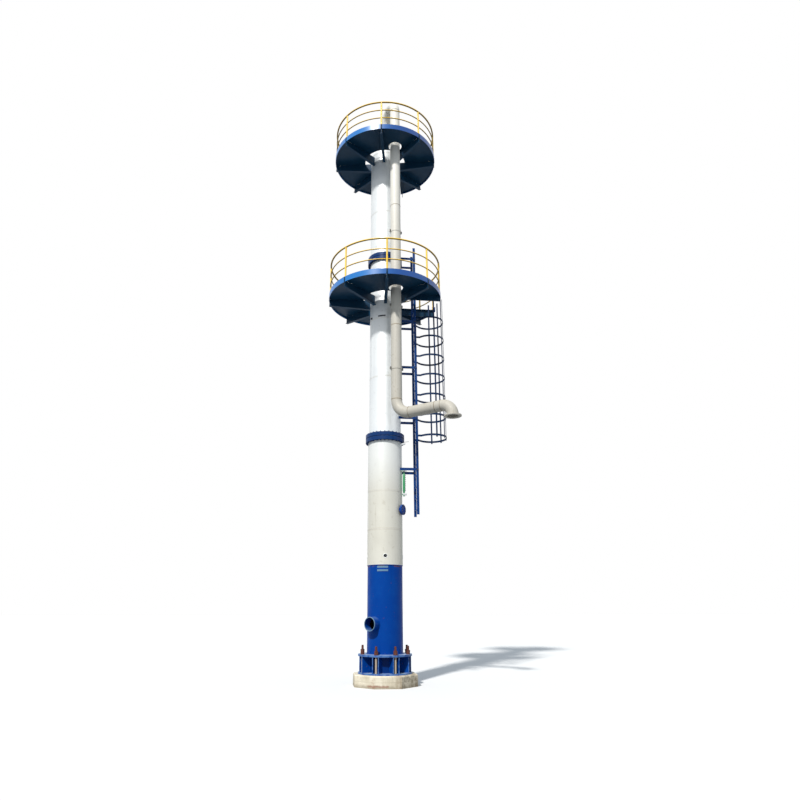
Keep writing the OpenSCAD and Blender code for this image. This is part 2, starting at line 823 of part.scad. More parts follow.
module strap_set(low, high) {
    for (i = [-2 : 2])
        translate([hoop_x, 0, low]) rotate(i * strap_step)
            translate([strap_r, -strap_w / 2, 0]) cube([hoop_t, strap_w, high - low]);
}

module cage_straps() {
    color(dark_blue) {
        rotate(lower_hatch_az) strap_set(lower_cage_z - 30, lower_deck_z + strap_over);
        rotate(upper_hatch_az) strap_set(upper_cage_z - 30, upper_deck_z + strap_over);
    }
}

module drain_nozzle() {
    color(steel_blue) rotate(drain_az) translate([0, 0, drain_z]) rotate([0, 90, 0])
        difference() {
            union() {
                cylinder(d = drain_neck_d, h = drain_reach - drain_flange_t);
                translate([0, 0, drain_reach - drain_flange_t])
                    cylinder(d = drain_flange_d, h = 2 * drain_flange_t);
            }
            translate([0, 0, -1]) cylinder(r = drain_in_r, h = drain_reach + 1);
            rotate([0, -90, 0]) translate([0, 0, -drain_flange_d])
                cylinder(r = base_r + seat, h = 2 * drain_flange_d);
        }
}

// Short pipe from the bottom section to a given radius
module wall_branch(z, reach) {
    difference() {
        translate([0, 0, z]) rotate([0, 90, 0]) cylinder(d = branch_d, h = reach);
        translate([0, 0, z - branch_d]) cylinder(r = base_r + seat, h = 2 * branch_d);
    }
}

module level_gauge() {
    color([0.35, 0.68, 0.50]) rotate(gauge_az) {
        wall_branch(gauge_low_z, gauge_r);
        wall_branch(gauge_high_z, gauge_r);
        translate([gauge_r, 0, gauge_low_z - cock_l])
            cylinder(d = gauge_d, h = gauge_high_z - gauge_low_z + 2 * cock_l);
    }
}

module instrument_branch() {
    color(satin_steel) rotate(branch_az) {
        wall_branch(branch_z, base_r + 2 * cock_l);
        translate([base_r + 2 * cock_l - 10, 0, branch_z]) rotate([0, 90, 0])
            cylinder(d = cock_d, h = cock_l, $fn = 6);
    }
}

plinth();
base_ring();
anchor_gussets();
compression_ring();
anchor_bolts();
skirt();
access_sleeve();
base_shell();
bottom_head();
middle_shell();
top_shell();
top_head();
lower_body_flanges();
upper_body_flanges();
body_gaskets();
top_nozzle();
vapour_return_bend();
vapour_downcomer();
vapour_lower_elbow();
vapour_cross_pipe();
vapour_outlet_elbow();
vapour_outlet_flange();
vapour_guides();
lower_deck_brackets();
lower_deck();
lower_toe_plates();
lower_rail_posts();
lower_top_rail();
lower_mid_rails();
upper_deck_brackets();
upper_deck();
upper_toe_plates();
upper_rail_posts();
upper_top_rail();
upper_mid_rails();
hatch_side_beams();
ladder_stringers();
ladder_rungs();
ladder_brackets();
cage_hoops();
cage_straps();
drain_nozzle();
level_gauge();
instrument_branch();
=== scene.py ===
import json
import math

import bmesh
import bpy
from mathutils import Matrix, Vector


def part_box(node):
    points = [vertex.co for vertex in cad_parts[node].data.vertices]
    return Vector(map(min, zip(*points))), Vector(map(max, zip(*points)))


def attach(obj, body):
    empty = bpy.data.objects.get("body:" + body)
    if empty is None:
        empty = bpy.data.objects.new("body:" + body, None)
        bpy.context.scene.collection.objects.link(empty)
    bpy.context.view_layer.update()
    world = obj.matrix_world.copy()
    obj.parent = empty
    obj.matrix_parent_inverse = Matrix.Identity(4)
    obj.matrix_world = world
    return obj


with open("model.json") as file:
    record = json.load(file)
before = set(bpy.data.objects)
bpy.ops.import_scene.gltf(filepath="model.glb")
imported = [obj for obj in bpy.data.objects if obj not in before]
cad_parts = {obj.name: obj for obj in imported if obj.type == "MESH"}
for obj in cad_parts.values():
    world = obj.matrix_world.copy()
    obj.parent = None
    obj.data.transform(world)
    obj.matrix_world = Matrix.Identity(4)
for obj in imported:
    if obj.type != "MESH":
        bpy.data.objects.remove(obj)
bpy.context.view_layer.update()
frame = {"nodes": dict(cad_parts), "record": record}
nodes = frame["nodes"]
print("frame loaded,", len(nodes), "nodes")

upwards = (0, 0, 1)


def polar(radius, azimuth, height=0.0):
    angle = math.radians(azimuth)
    return Vector((radius * math.cos(angle), radius * math.sin(angle), height))


def turned(degrees, axis="Z"):
    return Matrix.Rotation(math.radians(degrees), 4, axis)


def moved(x, y, z):
    return Matrix.Translation((x, y, z))


def colour(screen):
    # 0 to 255 as seen on a screen, to the linear values that the shaders take
    values = [value / 255 for value in screen]
    return tuple(v / 12.92 if v <= 0.04045 else ((v + 0.055) / 1.055) ** 2.4 for v in values) + (1.0,)


def placed(name, data):
    thing = bpy.data.objects.new(name, data)
    bpy.context.scene.collection.objects.link(thing)
    return thing


class NodeWriter:
    # writes nodes into one tree; a value is a number, a colour, a socket or a node's first output
    def __init__(self, tree, place=None):
        self.tree, self.place = tree, place

    def feed(self, socket, value):
        if isinstance(value, bpy.types.Node):
            value = value.outputs[0]
        if isinstance(value, bpy.types.NodeSocket):
            self.tree.links.new(value, socket)
        elif value is not None:
            socket.default_value = value

    def add(self, kind, inputs={}, **settings):
        node = self.tree.nodes.new(kind)
        for label, value in settings.items():
            setattr(node, label, value)
        for label, value in inputs.items():
            self.feed(node.inputs[label], value)
        return node

    def calc(self, operation, *values, clamp=False):
        return self.add("ShaderNodeMath", dict(enumerate(values)), operation=operation, use_clamp=clamp).outputs[0]

    def plus(self, first, second, clamp=False):
        return self.calc("ADD", first, second, clamp=clamp)

    def minus(self, first, second):
        return self.calc("SUBTRACT", first, second)

    def times(self, first, second):
        return self.calc("MULTIPLY", first, second)

    def remap(self, value, low, high, newLow=0.0, newHigh=1.0):
        return self.add("ShaderNodeMapRange", {"Value": value, "From Min": low, "From Max": high, "To Min": newLow,
                                               "To Max": newHigh}, interpolation_type="SMOOTHSTEP").outputs["Result"]

    def noise(self, scale, detail=3.0, rough=0.55, place=None):
        return self.add("ShaderNodeTexNoise", {"Vector": self.place if place is None else place, "Scale": scale,
                                               "Detail": detail, "Roughness": rough}).outputs["Fac"]

    def stretched(self, scale):
        return self.add("ShaderNodeVectorMath", {0: self.place, 1: scale}, operation="MULTIPLY").outputs[0]

    def split(self, place=None):
        return self.add("ShaderNodeSeparateXYZ", {0: self.place if place is None else place}).outputs

    def facingUp(self):
        return self.split(self.add("ShaderNodeNewGeometry").outputs["Normal"])["Z"]

    def effect(self, group, *values, place=None):
        # the values are for the group's own inputs, in their order
        inputs = dict(enumerate((self.place if place is None else place, *values)))
        return self.add("ShaderNodeGroup", inputs, node_tree=bpy.data.node_groups[group]).outputs

    def patches(self, *values):
        return self.effect("patches", *values)["Mask"]

    def runs(self, *values):
        return self.effect("runMarks", *values)["Mask"]

    def band(self, *values):
        return self.effect("levelBand", *values)["Mask"]

    def dust(self, amount):
        return self.effect("lyingDust", amount)["Mask"]

    def lay(self, mask, over, most=1.0):
        # a colour over the base colour, as far as the mask says
        if most < 1.0:
            mask = self.times(mask, most)
        under = colour(self.base) if isinstance(self.base, tuple) else self.base
        self.base = self.add("ShaderNodeMix", {0: mask, 6: under, 7: colour(over)}, data_type="RGBA").outputs[2]

    def skin(self, *values, place=None):
        # lays the fine unevenness on the surface and gives back its gloss
        marks = self.effect("fineSkin", *values, place=place)
        self.feed(self.sockets["Normal"], marks["Normal"])
        return marks["Gloss"]

    def finish(self, roughness):
        self.feed(self.sockets["Base Color"], self.base)
        self.feed(self.sockets["Roughness"], roughness)
        return self.material


# camera, floor and light
cameraSizes = dict(
    distance=14.95, azimuth=-96.0, eyeHeight=1.60, pitch=18.88, lens=27.56, shiftX=0.01875, sensor=36.0,
    reach=500.0)


def makeCamera(distance, azimuth, eyeHeight, pitch, lens, shiftX, sensor, reach):
    data = bpy.data.cameras.new("columnCamera")
    data.sensor_width = sensor
    data.lens = lens
    data.shift_x = shiftX
    data.clip_end = reach
    camera = placed("columnCamera", data)
    camera.location = polar(distance, azimuth, eyeHeight)
    camera.rotation_euler = (math.radians(90.0 + pitch), 0.0, math.radians(azimuth + 90.0))
    bpy.context.scene.camera = camera


# the suns as azimuth, elevation, strength, spread and tint
lightSizes = dict(
    key=(-120.0, 44.0, 4.0, 3.5, (1.0, 0.98, 0.94)), fill=(-30.0, 18.0, 0.06, 40.0, (0.95, 0.97, 1.0)),
    sky=(0.80, 0.90, 1.0, 1.0), skyStrength=0.60, floorReach=150.0, floorSeen=(0.74, 0.74, 0.74, 1.0),
    floorBounce=(0.24, 0.25, 0.26, 1.0))


def addSun(name, azimuth, elevation, strength, spread, tint):
    lamp = bpy.data.lights.new(name, "SUN")
    lamp.energy = strength
    lamp.angle = math.radians(spread)
    lamp.color = tint
    sun = placed(name, lamp)
    toward = polar(math.cos(math.radians(elevation)), azimuth, math.sin(math.radians(elevation)))
    sun.rotation_euler = toward.to_track_quat("Z", "Y").to_euler()
    sun.location = toward * 30.0


def emptyTree(owner):
    owner.use_nodes = True
    owner.node_tree.nodes.clear()
    return NodeWriter(owner.node_tree)


def mixInto(tree, outputKind, mask, first, second):
    mixed = tree.add("ShaderNodeMixShader", {0: mask, 1: first, 2: second})
    tree.add(outputKind, {"Surface": mixed})


def makeWorld(sizes):
    # white where the camera, a gloss or a glass ray looks, and a soft even sky for the rest
    world = bpy.data.worlds.new("studioSky")
    tree = emptyTree(world)
    white = tree.add("ShaderNodeBackground", {"Color": (1.0, 1.0, 1.0, 1.0)})
    soft = tree.add("ShaderNodeBackground", {"Color": sizes["sky"], "Strength": sizes["skyStrength"]})
    rays = tree.add("ShaderNodeLightPath").outputs
    seen = tree.plus(rays["Is Camera Ray"], rays["Is Glossy Ray"])
    mixInto(tree, "ShaderNodeOutputWorld", tree.plus(seen, rays["Is Transmission Ray"], clamp=True), soft, white)
    bpy.context.scene.world = world


def makeFloor(sizes):
    reach = sizes["floorReach"]
    mesh = bpy.data.meshes.new("studioFloor")
    mesh.from_pydata([(-reach, -reach, 0), (reach, -reach, 0), (reach, reach, 0), (-reach, reach, 0)],
                     [], [(0, 1, 2, 3)])
    material = bpy.data.materials.new("paleFloor")
    tree = emptyTree(material)
    seen, bounce = (tree.add("ShaderNodeBsdfDiffuse", {"Color": sizes[key]}) for key in ("floorSeen", "floorBounce"))
    rays = tree.add("ShaderNodeLightPath").outputs
    mixInto(tree, "ShaderNodeOutputMaterial", rays["Is Diffuse Ray"], seen, bounce)
    mesh.materials.append(material)
    placed("studioFloor", mesh)


makeCamera(**cameraSizes)
makeWorld(lightSizes)
makeFloor(lightSizes)
addSun("keyLight", *lightSizes["key"])
addSun("fillLight", *lightSizes["fill"])
bpy.context.scene.view_settings.view_transform = "Standard"
print("camera, floor and lights made")


# shader groups that several finishes share
def patchMask(group, scale, edge, softness):
    # irregular patches, for stains, chalking and lost paint
    low, high = (group.calc(way, edge, softness) for way in ("SUBTRACT", "ADD"))
    return [group.remap(group.noise(scale, 5.0, 0.6), low, high)]


def runMask(group, across, along, edge):
    # long upright marks that rain leaves on a wall
    scale = group.add("ShaderNodeCombineXYZ", {"X": across, "Y": across, "Z": along})
    marks = group.remap(group.noise(1.0, 4.0, 0.6, group.stretched(scale)), edge, group.plus(edge, 0.22))
    return [group.times(marks, group.remap(group.noise(0.9, 2.0), 0.35, 0.65))]


def bandMask(group, height, width, ragged):
    # a soft level ring at one height, such as a weld's heat tint or a tide mark
    drift = group.times(group.minus(group.noise(7.0, 3.0), 0.5), ragged)
    away = group.minus(group.plus(group.split()["Z"], drift), height)
    return [group.remap(group.calc("ABSOLUTE", away), width, 0.0)]


def dustMask(group, amount):
    # dust that lies on faces that look up
    cover = group.remap(group.noise(3.0, 5.0, 0.65), 0.25, 0.75, 0.45, 1.0)
    return [group.times(group.times(group.remap(group.facingUp(), 0.35, 0.95), cover), amount)]


def skinMarks(group, scale, depth, low, high):
    # the small unevenness of sprayed paint or rolled metal, as a normal and a gloss value
    bump = group.add("ShaderNodeBump", {"Distance": 0.004, "Strength": depth, "Height": group.noise(scale)})
    return [bump, group.remap(group.noise(2.3, 4.0, 0.6), 0.3, 0.7, low, high)]


def spokeMask(group, count, turn, width):
    # evenly spaced directions round the column, such as below each anchor bolt
    parts = group.split()
    angle = group.minus(group.calc("ARCTAN2", parts["Y"], parts["X"]), turn)
    share = group.times(group.calc("DIVIDE", angle, 2 * math.pi), count)
    near = group.calc("ABSOLUTE", group.minus(group.calc("FRACT", group.plus(share, 0.5)), 0.5))
    ragged = group.times(group.minus(group.noise(16.0, 4.0), 0.5), 0.12)
    return [group.remap(group.plus(near, ragged), width, 0.0)]


def makeGroup(name, write, labels, outputs=("Mask",)):
    tree = bpy.data.node_groups.new(name, "ShaderNodeTree")
    tree.interface.new_socket("Place", in_out="INPUT", socket_type="NodeSocketVector")
    for label in labels:
        tree.interface.new_socket(label, in_out="INPUT", socket_type="NodeSocketFloat")
    for label in outputs:
        kind = "NodeSocketVector" if label == "Normal" else "NodeSocketFloat"
        tree.interface.new_socket(label, in_out="OUTPUT", socket_type=kind)
    given, out = tree.nodes.new("NodeGroupInput").outputs, tree.nodes.new("NodeGroupOutput").inputs
    group = NodeWriter(tree, given["Place"])
    for label, value in zip(outputs, write(group, *(given[label] for label in labels))):
        group.feed(out[label], value)


makeGroup("patches", patchMask, ("Scale", "Edge", "Softness"))
makeGroup("runMarks", runMask, ("Across", "Along", "Edge"))
makeGroup("levelBand", bandMask, ("Height", "Width", "Ragged"))
makeGroup("lyingDust", dustMask, ("Amount",))
makeGroup("fineSkin", skinMarks, ("Scale", "Depth", "Low", "High"), ("Normal", "Gloss"))
makeGroup("spokes", spokeMask, ("Count", "Turn", "Width"))


# finishes
def newFinish(name, metallic=0.0, coat=0.0, coatRough=0.1, shine=0.5):
    material = bpy.data.materials.new(name)
    material.use_nodes = True
    tree = material.node_tree
    writer = NodeWriter(tree, tree.nodes.new("ShaderNodeTexCoord").outputs["Object"])
    writer.material, writer.sockets = material, tree.nodes["Principled BSDF"].inputs
    for label, value in (("Metallic", metallic), ("Specular IOR Level", shine), ("Coat Weight", coat),
                         ("Coat Roughness", coatRough)):
        writer.sockets[label].default_value = value
    return writer


usualPaint = dict(
    dustAmount=0.50, runEdge=0.54, chips=0.69, low=0.30, high=0.46, shine=0.14, coat=0.04, coatRough=0.12)
paintSizes = {
    "blue": dict(
        paint=(0, 57, 138), chalk=(10, 82, 160), deep=(0, 34, 92), dust=(110, 138, 168), runEdge=0.56,
        chips=0.70, shine=0.06, coat=0.02),
    # on the chairs the dust is heavy and pale, which also paints the light on the rings' top faces
    "chair": dict(
        paint=(0, 55, 134), chalk=(14, 84, 160), deep=(0, 32, 88), dust=(168, 188, 208), dustAmount=0.85,
        chips=0.68, shine=0.10, coat=0.03, rim=(112, 150, 194)),
    "toe": dict(
        paint=(0, 70, 144), chalk=(4, 94, 168), deep=(0, 58, 122), dust=(128, 156, 180), dustAmount=0.35,
        runEdge=0.56, chips=0.71, low=0.40, high=0.56, shine=0.05, coat=0.88, coatRough=0.29,
        sunSideSheen=(14, 116, 192)),
    "navy": dict(
        paint=(14, 50, 76), chalk=(32, 70, 94), deep=(7, 33, 52), dust=(104, 112, 116), dustAmount=0.65,
        chips=0.70, low=0.36, high=0.54, shine=0.12),
    "ring": dict(
        paint=(6, 44, 96), chalk=(34, 82, 130), deep=(3, 26, 62), dust=(150, 168, 186), dustAmount=0.70),
    "cage": dict(
        paint=(12, 38, 72), chalk=(28, 58, 92), deep=(5, 22, 46), dust=(104, 114, 126), dustAmount=0.60,
        low=0.34, high=0.52, shine=0.12),
    "rack": dict(
        paint=(6, 50, 108), chalk=(28, 76, 128), deep=(3, 32, 76), dust=(104, 114, 126), dustAmount=0.60,
        low=0.34, high=0.52),
    "yellow": dict(
        paint=(250, 204, 66), chalk=(252, 228, 150), deep=(214, 158, 40), dust=(222, 206, 160),
        dustAmount=0.40, runEdge=0.58, chips=0.70, shine=0.20, coat=0.08, grime=(96, 80, 42)),
    "green": dict(
        paint=(62, 142, 96), chalk=(120, 176, 140), deep=(30, 92, 62), dust=(150, 158, 140), dustAmount=0.40,
        runEdge=0.56, low=0.28, shine=0.30, coat=0.15),
}
bareColours = dict(
    primer=(108, 62, 38), seamRust=(126, 78, 48), chairGrime=(0, 22, 62), rubbedTread=(126, 134, 144),
    paleDust=(176, 168, 150))


def raiseTread(paint):
    # the raised tear pattern on the faces that are walked on
    heights = []
    for turn in (45.0, -45.0):
        place = paint.add("ShaderNodeVectorRotate", {"Vector": paint.place, "Angle": math.radians(turn)})
        parts = paint.split(place)
        cells = [paint.minus(paint.calc("FRACT", paint.times(parts[axis], 26.0)), 0.5) for axis in ("X", "Y")]
        reach = paint.plus(paint.calc("ABSOLUTE", cells[0]), paint.calc("ABSOLUTE", paint.times(cells[1], 3.6)))
        heights.append(paint.remap(reach, 0.44, 0.30))
    pattern = paint.times(paint.calc("MAXIMUM", *heights), paint.remap(paint.facingUp(), 0.8, 0.95))
    normal = paint.sockets["Normal"]
    paint.feed(normal, paint.add("ShaderNodeBump", {"Strength": 0.8, "Distance": 0.002, "Height": pattern,
                                                    "Normal": normal.links[0].from_socket}))
    paint.lay(pattern, bareColours["rubbedTread"], 0.45)


def paintedSteel(name, key, rustHeight=None, rimRadius=0.0, tread=False):
    look = {**usualPaint, **paintSizes[key]}
    paint = newFinish(name, 0.0, look["coat"], look["coatRough"], look["shine"])
    dust = paint.dust(look["dustAmount"])
    chips = paint.patches(21.0, look["chips"], 0.012)
    paint.base = look["paint"]
    paint.lay(paint.patches(1.7, 0.56, 0.16), look["chalk"], 0.30)
    paint.lay(paint.runs(14.0, 0.7, look["runEdge"]), look["deep"], 0.55)
    parts = paint.split()
    if "sunSideSheen" in look:
        # painted highlight: the side towards the key light is painted lighter, standing in for the sun's broad sheen
        # on the toe plates
        paint.lay(paint.remap(parts["X"], 0.30, -0.75), look["sunSideSheen"], 0.85)
    paint.lay(dust, look["dust"])
    if "grime" in look:
        # painted shade: faces that look down are painted darker, standing in for the shade under the rails
        paint.lay(paint.remap(paint.facingUp(), 0.10, -0.55), look["grime"], 0.85)
    if "rim" in look:
        # rubbed pale along the outer edge, which is also painted highlight for the lit edges
        squares = [paint.times(parts[axis], parts[axis]) for axis in ("X", "Y")]
        edge = paint.remap(paint.calc("SQRT", paint.plus(*squares)), rimRadius - 0.006, rimRadius - 0.002)
        paint.lay(paint.times(edge, paint.remap(paint.noise(11.0, 4.0, 0.6), 0.34, 0.60)), look["rim"], 0.48)
    if rustHeight is not None:
        seam = paint.times(paint.band(rustHeight, 0.05, 0.09), paint.patches(7.0, 0.52, 0.08))
        paint.lay(seam, bareColours["seamRust"], 0.8)
        # painted shade: the skirt is darkened below the compression ring, standing in for the shade in the chairs'
        # recesses
        paint.lay(paint.remap(parts["Z"], 0.66, 0.56), bareColours["chairGrime"], 0.55)
    paint.lay(chips, bareColours["primer"], 0.85)
    gloss = paint.skin(70.0, 0.10, look["low"], look["high"])
    if tread:
        raiseTread(paint)
    worn = paint.plus(gloss, paint.times(dust, 0.30))
    return paint.finish(paint.plus(worn, paint.times(chips, 0.3), clamp=True))


usualSteel = dict(low=0.40, high=0.55, stains=0.50, metal=0.15, shine=0.12)
steelSizes = {
    "base": dict(
        plate=(208, 206, 196), cloud=(196, 193, 182), stain=(172, 166, 152), tint=(186, 176, 156), low=0.38,
        high=0.52, paintedLightTone=(224, 226, 225), paintedLightLow=3.9, paintedLightHigh=5.4),
    "shell": dict(
        plate=(228, 231, 232), cloud=(214, 218, 221), stain=(188, 190, 188), tint=(208, 203, 192), low=0.34,
        high=0.46, stains=0.45, metal=0.36),
    "pipe": dict(
        plate=(186, 182, 173), cloud=(174, 169, 157), stain=(146, 134, 116), tint=(172, 158, 134), low=0.46,
        high=0.60, stains=0.55, metal=0.05, paintedLightTone=(234, 231, 223), paintedLightLow=7.0, paintedLightHigh=14.6),
    "gasket": dict(
        plate=(214, 216, 218), cloud=(196, 198, 200), stain=(150, 148, 142), shine=0.35),
    "weld": dict(
        plate=(138, 124, 102), cloud=(116, 102, 82), stain=(90, 76, 60), high=0.60, stains=0.60, metal=0.20,
        shine=0.20),
    "tag": dict(
        plate=(92, 124, 150), cloud=(120, 146, 166), stain=(62, 84, 108), metal=0.10, shine=0.25),
}


def plateSteel(name, key, weldHeights=()):
    look = {**usualSteel, **steelSizes[key]}
    plate = newFinish(name, look["metal"], shine=look["shine"])
    runs = plate.runs(17.0, 0.35, 0.54)
    plate.base = look["plate"]
    plate.lay(plate.patches(1.1, 0.52, 0.20), look["cloud"], 0.6)
    plate.lay(runs, look["stain"], look["stains"])
    plate.lay(plate.patches(9.0, 0.64, 0.06), look["stain"], 0.35)
    for height in weldHeights:
        plate.lay(plate.band(height, 0.045, 0.02), look["tint"], 0.35)
    if "paintedLightTone" in look:
        # painted light: paler towards the top, standing in for the stronger light higher up and the shade lower down
        plate.lay(plate.remap(plate.split()["Z"], look["paintedLightLow"], look["paintedLightHigh"]), look["paintedLightTone"], 0.85)
    plate.lay(plate.dust(0.4), bareColours["paleDust"])
    gloss = plate.skin(38.0, 0.07, look["low"], look["high"], place=plate.stretched((1.0, 1.0, 9.0)))
    return plate.finish(plate.plus(gloss, plate.times(runs, 0.18), clamp=True))


rustSizes = dict(
    dark=(54, 28, 23), mid=(94, 44, 32), light=(138, 78, 54), scale=34.0, grout=(190, 178, 160),
    groutTop=0.625)


def rustedIron(name):
    look = rustSizes
    iron = newFinish(name, 0.15)
    iron.base = look["dark"]
    iron.lay(iron.patches(look["scale"], 0.48, 0.12), look["mid"])
    iron.lay(iron.patches(look["scale"] * 3, 0.58, 0.06), look["light"], 0.7)
    # the shanks between the two rings are pale with grout and old paint
    iron.lay(iron.remap(iron.split()["Z"], look["groutTop"], look["groutTop"] - 0.025), look["grout"], 0.72)
    return iron.finish(iron.skin(190.0, 0.55, 0.62, 0.88))


concreteSizes = dict(
    cast=(228, 219, 199), grey=(170, 158, 132), damp=(104, 90, 66), rust=(132, 70, 44), boltCount=8.0,
    boltTurn=18.5, boardZ=0.125, stainZ=0.045, stainFrom=-0.44, stainTo=0.02)


def castConcrete(name):
    look = concreteSizes
    cast = newFinish(name)
    pores = cast.patches(60.0, 0.66, 0.03)
    boards = cast.band(look["boardZ"], 0.006, 0.004)
    spokes = cast.effect("spokes", look["boltCount"], math.radians(look["boltTurn"]), 0.15)["Mask"]
    cast.base = look["cast"]
    cast.lay(cast.patches(3.2, 0.50, 0.18), look["grey"], 0.55)
    cast.lay(cast.runs(15.0, 2.0, 0.50), look["grey"], 0.55)
    cast.lay(boards, look["damp"], 0.35)
    cast.lay(cast.band(0.0, 0.09, 0.10), look["damp"], 0.55)
    cast.lay(cast.times(spokes, cast.remap(cast.noise(6.0, 5.0, 0.7), 0.42, 0.66)), look["rust"], 0.65)
    # a rust mark along the foot of the front faces
    parts = cast.split()
    start, end = look["stainFrom"], look["stainTo"]
    along = cast.times(cast.remap(parts["X"], start - 0.03, start), cast.remap(parts["X"], end, end - 0.03))
    front = cast.times(along, cast.remap(parts["Y"], -0.50, -0.60))
    cast.lay(cast.times(cast.band(look["stainZ"], 0.035, 0.05), front), look["rust"], 0.65)
    # mottled dark patches on the faces on the vapour line's side: partly damp, partly painted shade for the side
    # turned from the key light
    side = cast.times(cast.remap(parts["X"], -0.05, 0.50), cast.remap(parts["Y"], 0.10, -0.20))
    cast.lay(cast.times(side, cast.patches(8.0, 0.50, 0.12)), look["damp"], 0.70)
    cast.lay(pores, look["damp"], 0.75)
    rough = cast.minus(cast.noise(48.0, 6.0, 0.7), cast.times(pores, 0.8))
    cast.feed(cast.sockets["Normal"], cast.add("ShaderNodeBump", {
        "Strength": 0.5, "Distance": 0.004, "Height": cast.minus(rough, cast.times(boards, 0.6))}))
    return cast.finish(0.92)


darkSizes = dict(dark=(52, 55, 60), light=(86, 88, 92), rust=(104, 62, 40))
glassSizes = dict(empty=(206, 222, 216), liquid=(150, 172, 120), specks=(226, 230, 224), level=4.52)


def darkSteel(name):
    steel = newFinish(name, 0.6)
    steel.base = darkSizes["dark"]
    steel.lay(steel.patches(30.0, 0.52, 0.15), darkSizes["light"])
    steel.lay(steel.patches(44.0, 0.62, 0.05), darkSizes["rust"], 0.7)
    return steel.finish(steel.skin(160.0, 0.2, 0.38, 0.62))


def gaugeGlass(name):
    look = glassSizes
    glass = newFinish(name, 0.0, 0.8, 0.03)
    glass.base = look["empty"]
    glass.lay(glass.remap(glass.split()["Z"], look["level"], look["level"] - 0.01), look["liquid"])
    glass.lay(glass.patches(80.0, 0.60, 0.1), look["specks"], 0.4)
    return glass.finish(glass.skin(90.0, 0.04, 0.06, 0.14))


shellWelds = [3.395, 4.30, 7.24, 8.885, 12.20, 14.21]
pipeWelds = [6.476, 8.48, 12.10, 15.38]
finishes = {
    "blue_paint": paintedSteel("blueEnamel", "blue"),
    "navy_paint": paintedSteel("navyEnamel", "navy"),
    "yellow_paint": paintedSteel("yellowEnamel", "yellow"),
    "gauge_paint": paintedSteel("greenEnamel", "green"),
    "shell_steel": plateSteel("shellPlate", "shell", shellWelds),
    "pipe_steel": plateSteel("pipePlate", "pipe", pipeWelds),
    "gasket": plateSteel("gasketMetal", "gasket"),
    "rusty_steel": rustedIron("rustedBolts"),
    "concrete": castConcrete("castPlinth"),
}
deckFinish = paintedSteel("deckPlate", "navy", tread=True)
toeFinish = paintedSteel("toeEnamel", "toe")
skirtFinish = paintedSteel("skirtEnamel", "blue", 2.57)
rackFinish = paintedSteel("rackEnamel", "rack")
cageFinish = paintedSteel("cageEnamel", "cage")
ringFinish = paintedSteel("ringEnamel", "ring")
darkFinish = darkSteel("darkFittings")
glassFinish = gaugeGlass("gaugeGlass")
tagFinish = plateSteel("bareTag", "tag")
weldFinish = plateSteel("pipeWeld", "weld")
nodeFinishes = {
    "skirt": skirtFinish, "lower_deck": deckFinish, "upper_deck": deckFinish, "lower_toe_plates": toeFinish,
    "upper_toe_plates": toeFinish, "lower_body_flanges": ringFinish, "upper_body_flanges": ringFinish,
    "base_shell": plateSteel("basePlate", "base", shellWelds), "vapour_guides": finishes["pipe_steel"],
}
for name in ("base_ring", "anchor_gussets", "compression_ring"):
    nodeFinishes[name] = paintedSteel(name + "_enamel", "chair", None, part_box(name)[1].x)


def dressNodes():
    for part in frame["record"]["subparts"]:
        finish = nodeFinishes.get(part["node"], finishes[part["material_slot"]])
        if part["node"].startswith("ladder"):
            finish = rackFinish
        elif part["node"].startswith("cage"):
            finish = cageFinish
        for holder in nodes[part["node"]].material_slots:
            holder.material = finish


dressNodes()
print("finishes made and laid on the nodes")


# small turned shapes, used as the patterns for bolts, nuts and rivets
def fillMesh(points, faces):
    mesh = bpy.data.meshes.new("part")
    mesh.from_pydata([tuple(point) for point in points], [], faces)
    mesh.validate()
    return mesh


def meshFrom(work):
    mesh = bpy.data.meshes.new("part")
    work.to_mesh(mesh)
    work.free()
    return mesh


def joinedMesh(meshes):
    work = bmesh.new()
    for mesh in meshes:
        work.from_mesh(mesh)
    return meshFrom(work)


def turnedMesh(parts, move=None):
    # each part is (sides, turn, [(radius, height), ...]) about Z, from its lower pole to its upper pole
    points, faces = [], []
    for sides, turn, profile in parts:
        rows = []
        for radius, height in profile:
            around = 1 if radius == 0 else sides
            rows.append(list(range(len(points), len(points) + around)))
            for i in range(around):
                angle = math.radians(turn) + 2 * math.pi * i / sides
                points.append((radius * math.cos(angle), radius * math.sin(angle), height))
        for low, high in zip(rows, rows[1:]):
            for i in range(sides):
                j = (i + 1) % sides
                ring = [low[i % len(low)], low[j % len(low)], high[j % len(high)], high[i % len(high)]]
                kept = [v for k, v in enumerate(ring) if v not in ring[:k]]
                if len(kept) > 2:
                    faces.append(kept)
    mesh = fillMesh(points, faces)
    if move is not None:
        mesh.transform(move)
    return mesh


def hexPart(radius, low, high, turn=0.0):
    edge = 0.12 * (high - low)
    return (6, turn, [(0, low), (radius * 0.94, low), (radius, low + edge), (radius, high - edge),
                      (radius * 0.94, high), (0, high)])


def barPart(radius, low, high, sides=12):
    edge = 0.15 * radius
    return (sides, 0.0, [(0, low), (radius - edge, low), (radius, low + edge), (radius, high - edge),
                         (radius - edge, high), (0, high)])


def domePart(radius, rise, sides=12):
    return (sides, 0.0, [(0, 0.0), (radius, 0.0), (radius * 0.92, rise * 0.45), (radius * 0.6, rise * 0.85),
                         (0, rise)])


def shapeOf(*meshes):
    # an object for the arrays to copy
    return bpy.data.objects.new("shape", joinedMesh(meshes))


alongX = turned(90.0, "Y")


# node trees that repeat a shape or run a bead
def newGeometryTree(name, **inputs):
    tree = bpy.data.node_groups.new(name, "GeometryNodeTree")
    for label, kind in {"Geometry": "Geometry", **inputs, "Finish": "Material"}.items():
        tree.interface.new_socket(label, in_out="INPUT", socket_type="NodeSocket" + kind)
    tree.interface.new_socket("Geometry", in_out="OUTPUT", socket_type="NodeSocketGeometry")
    return NodeWriter(tree), tree.nodes.new("NodeGroupInput").outputs


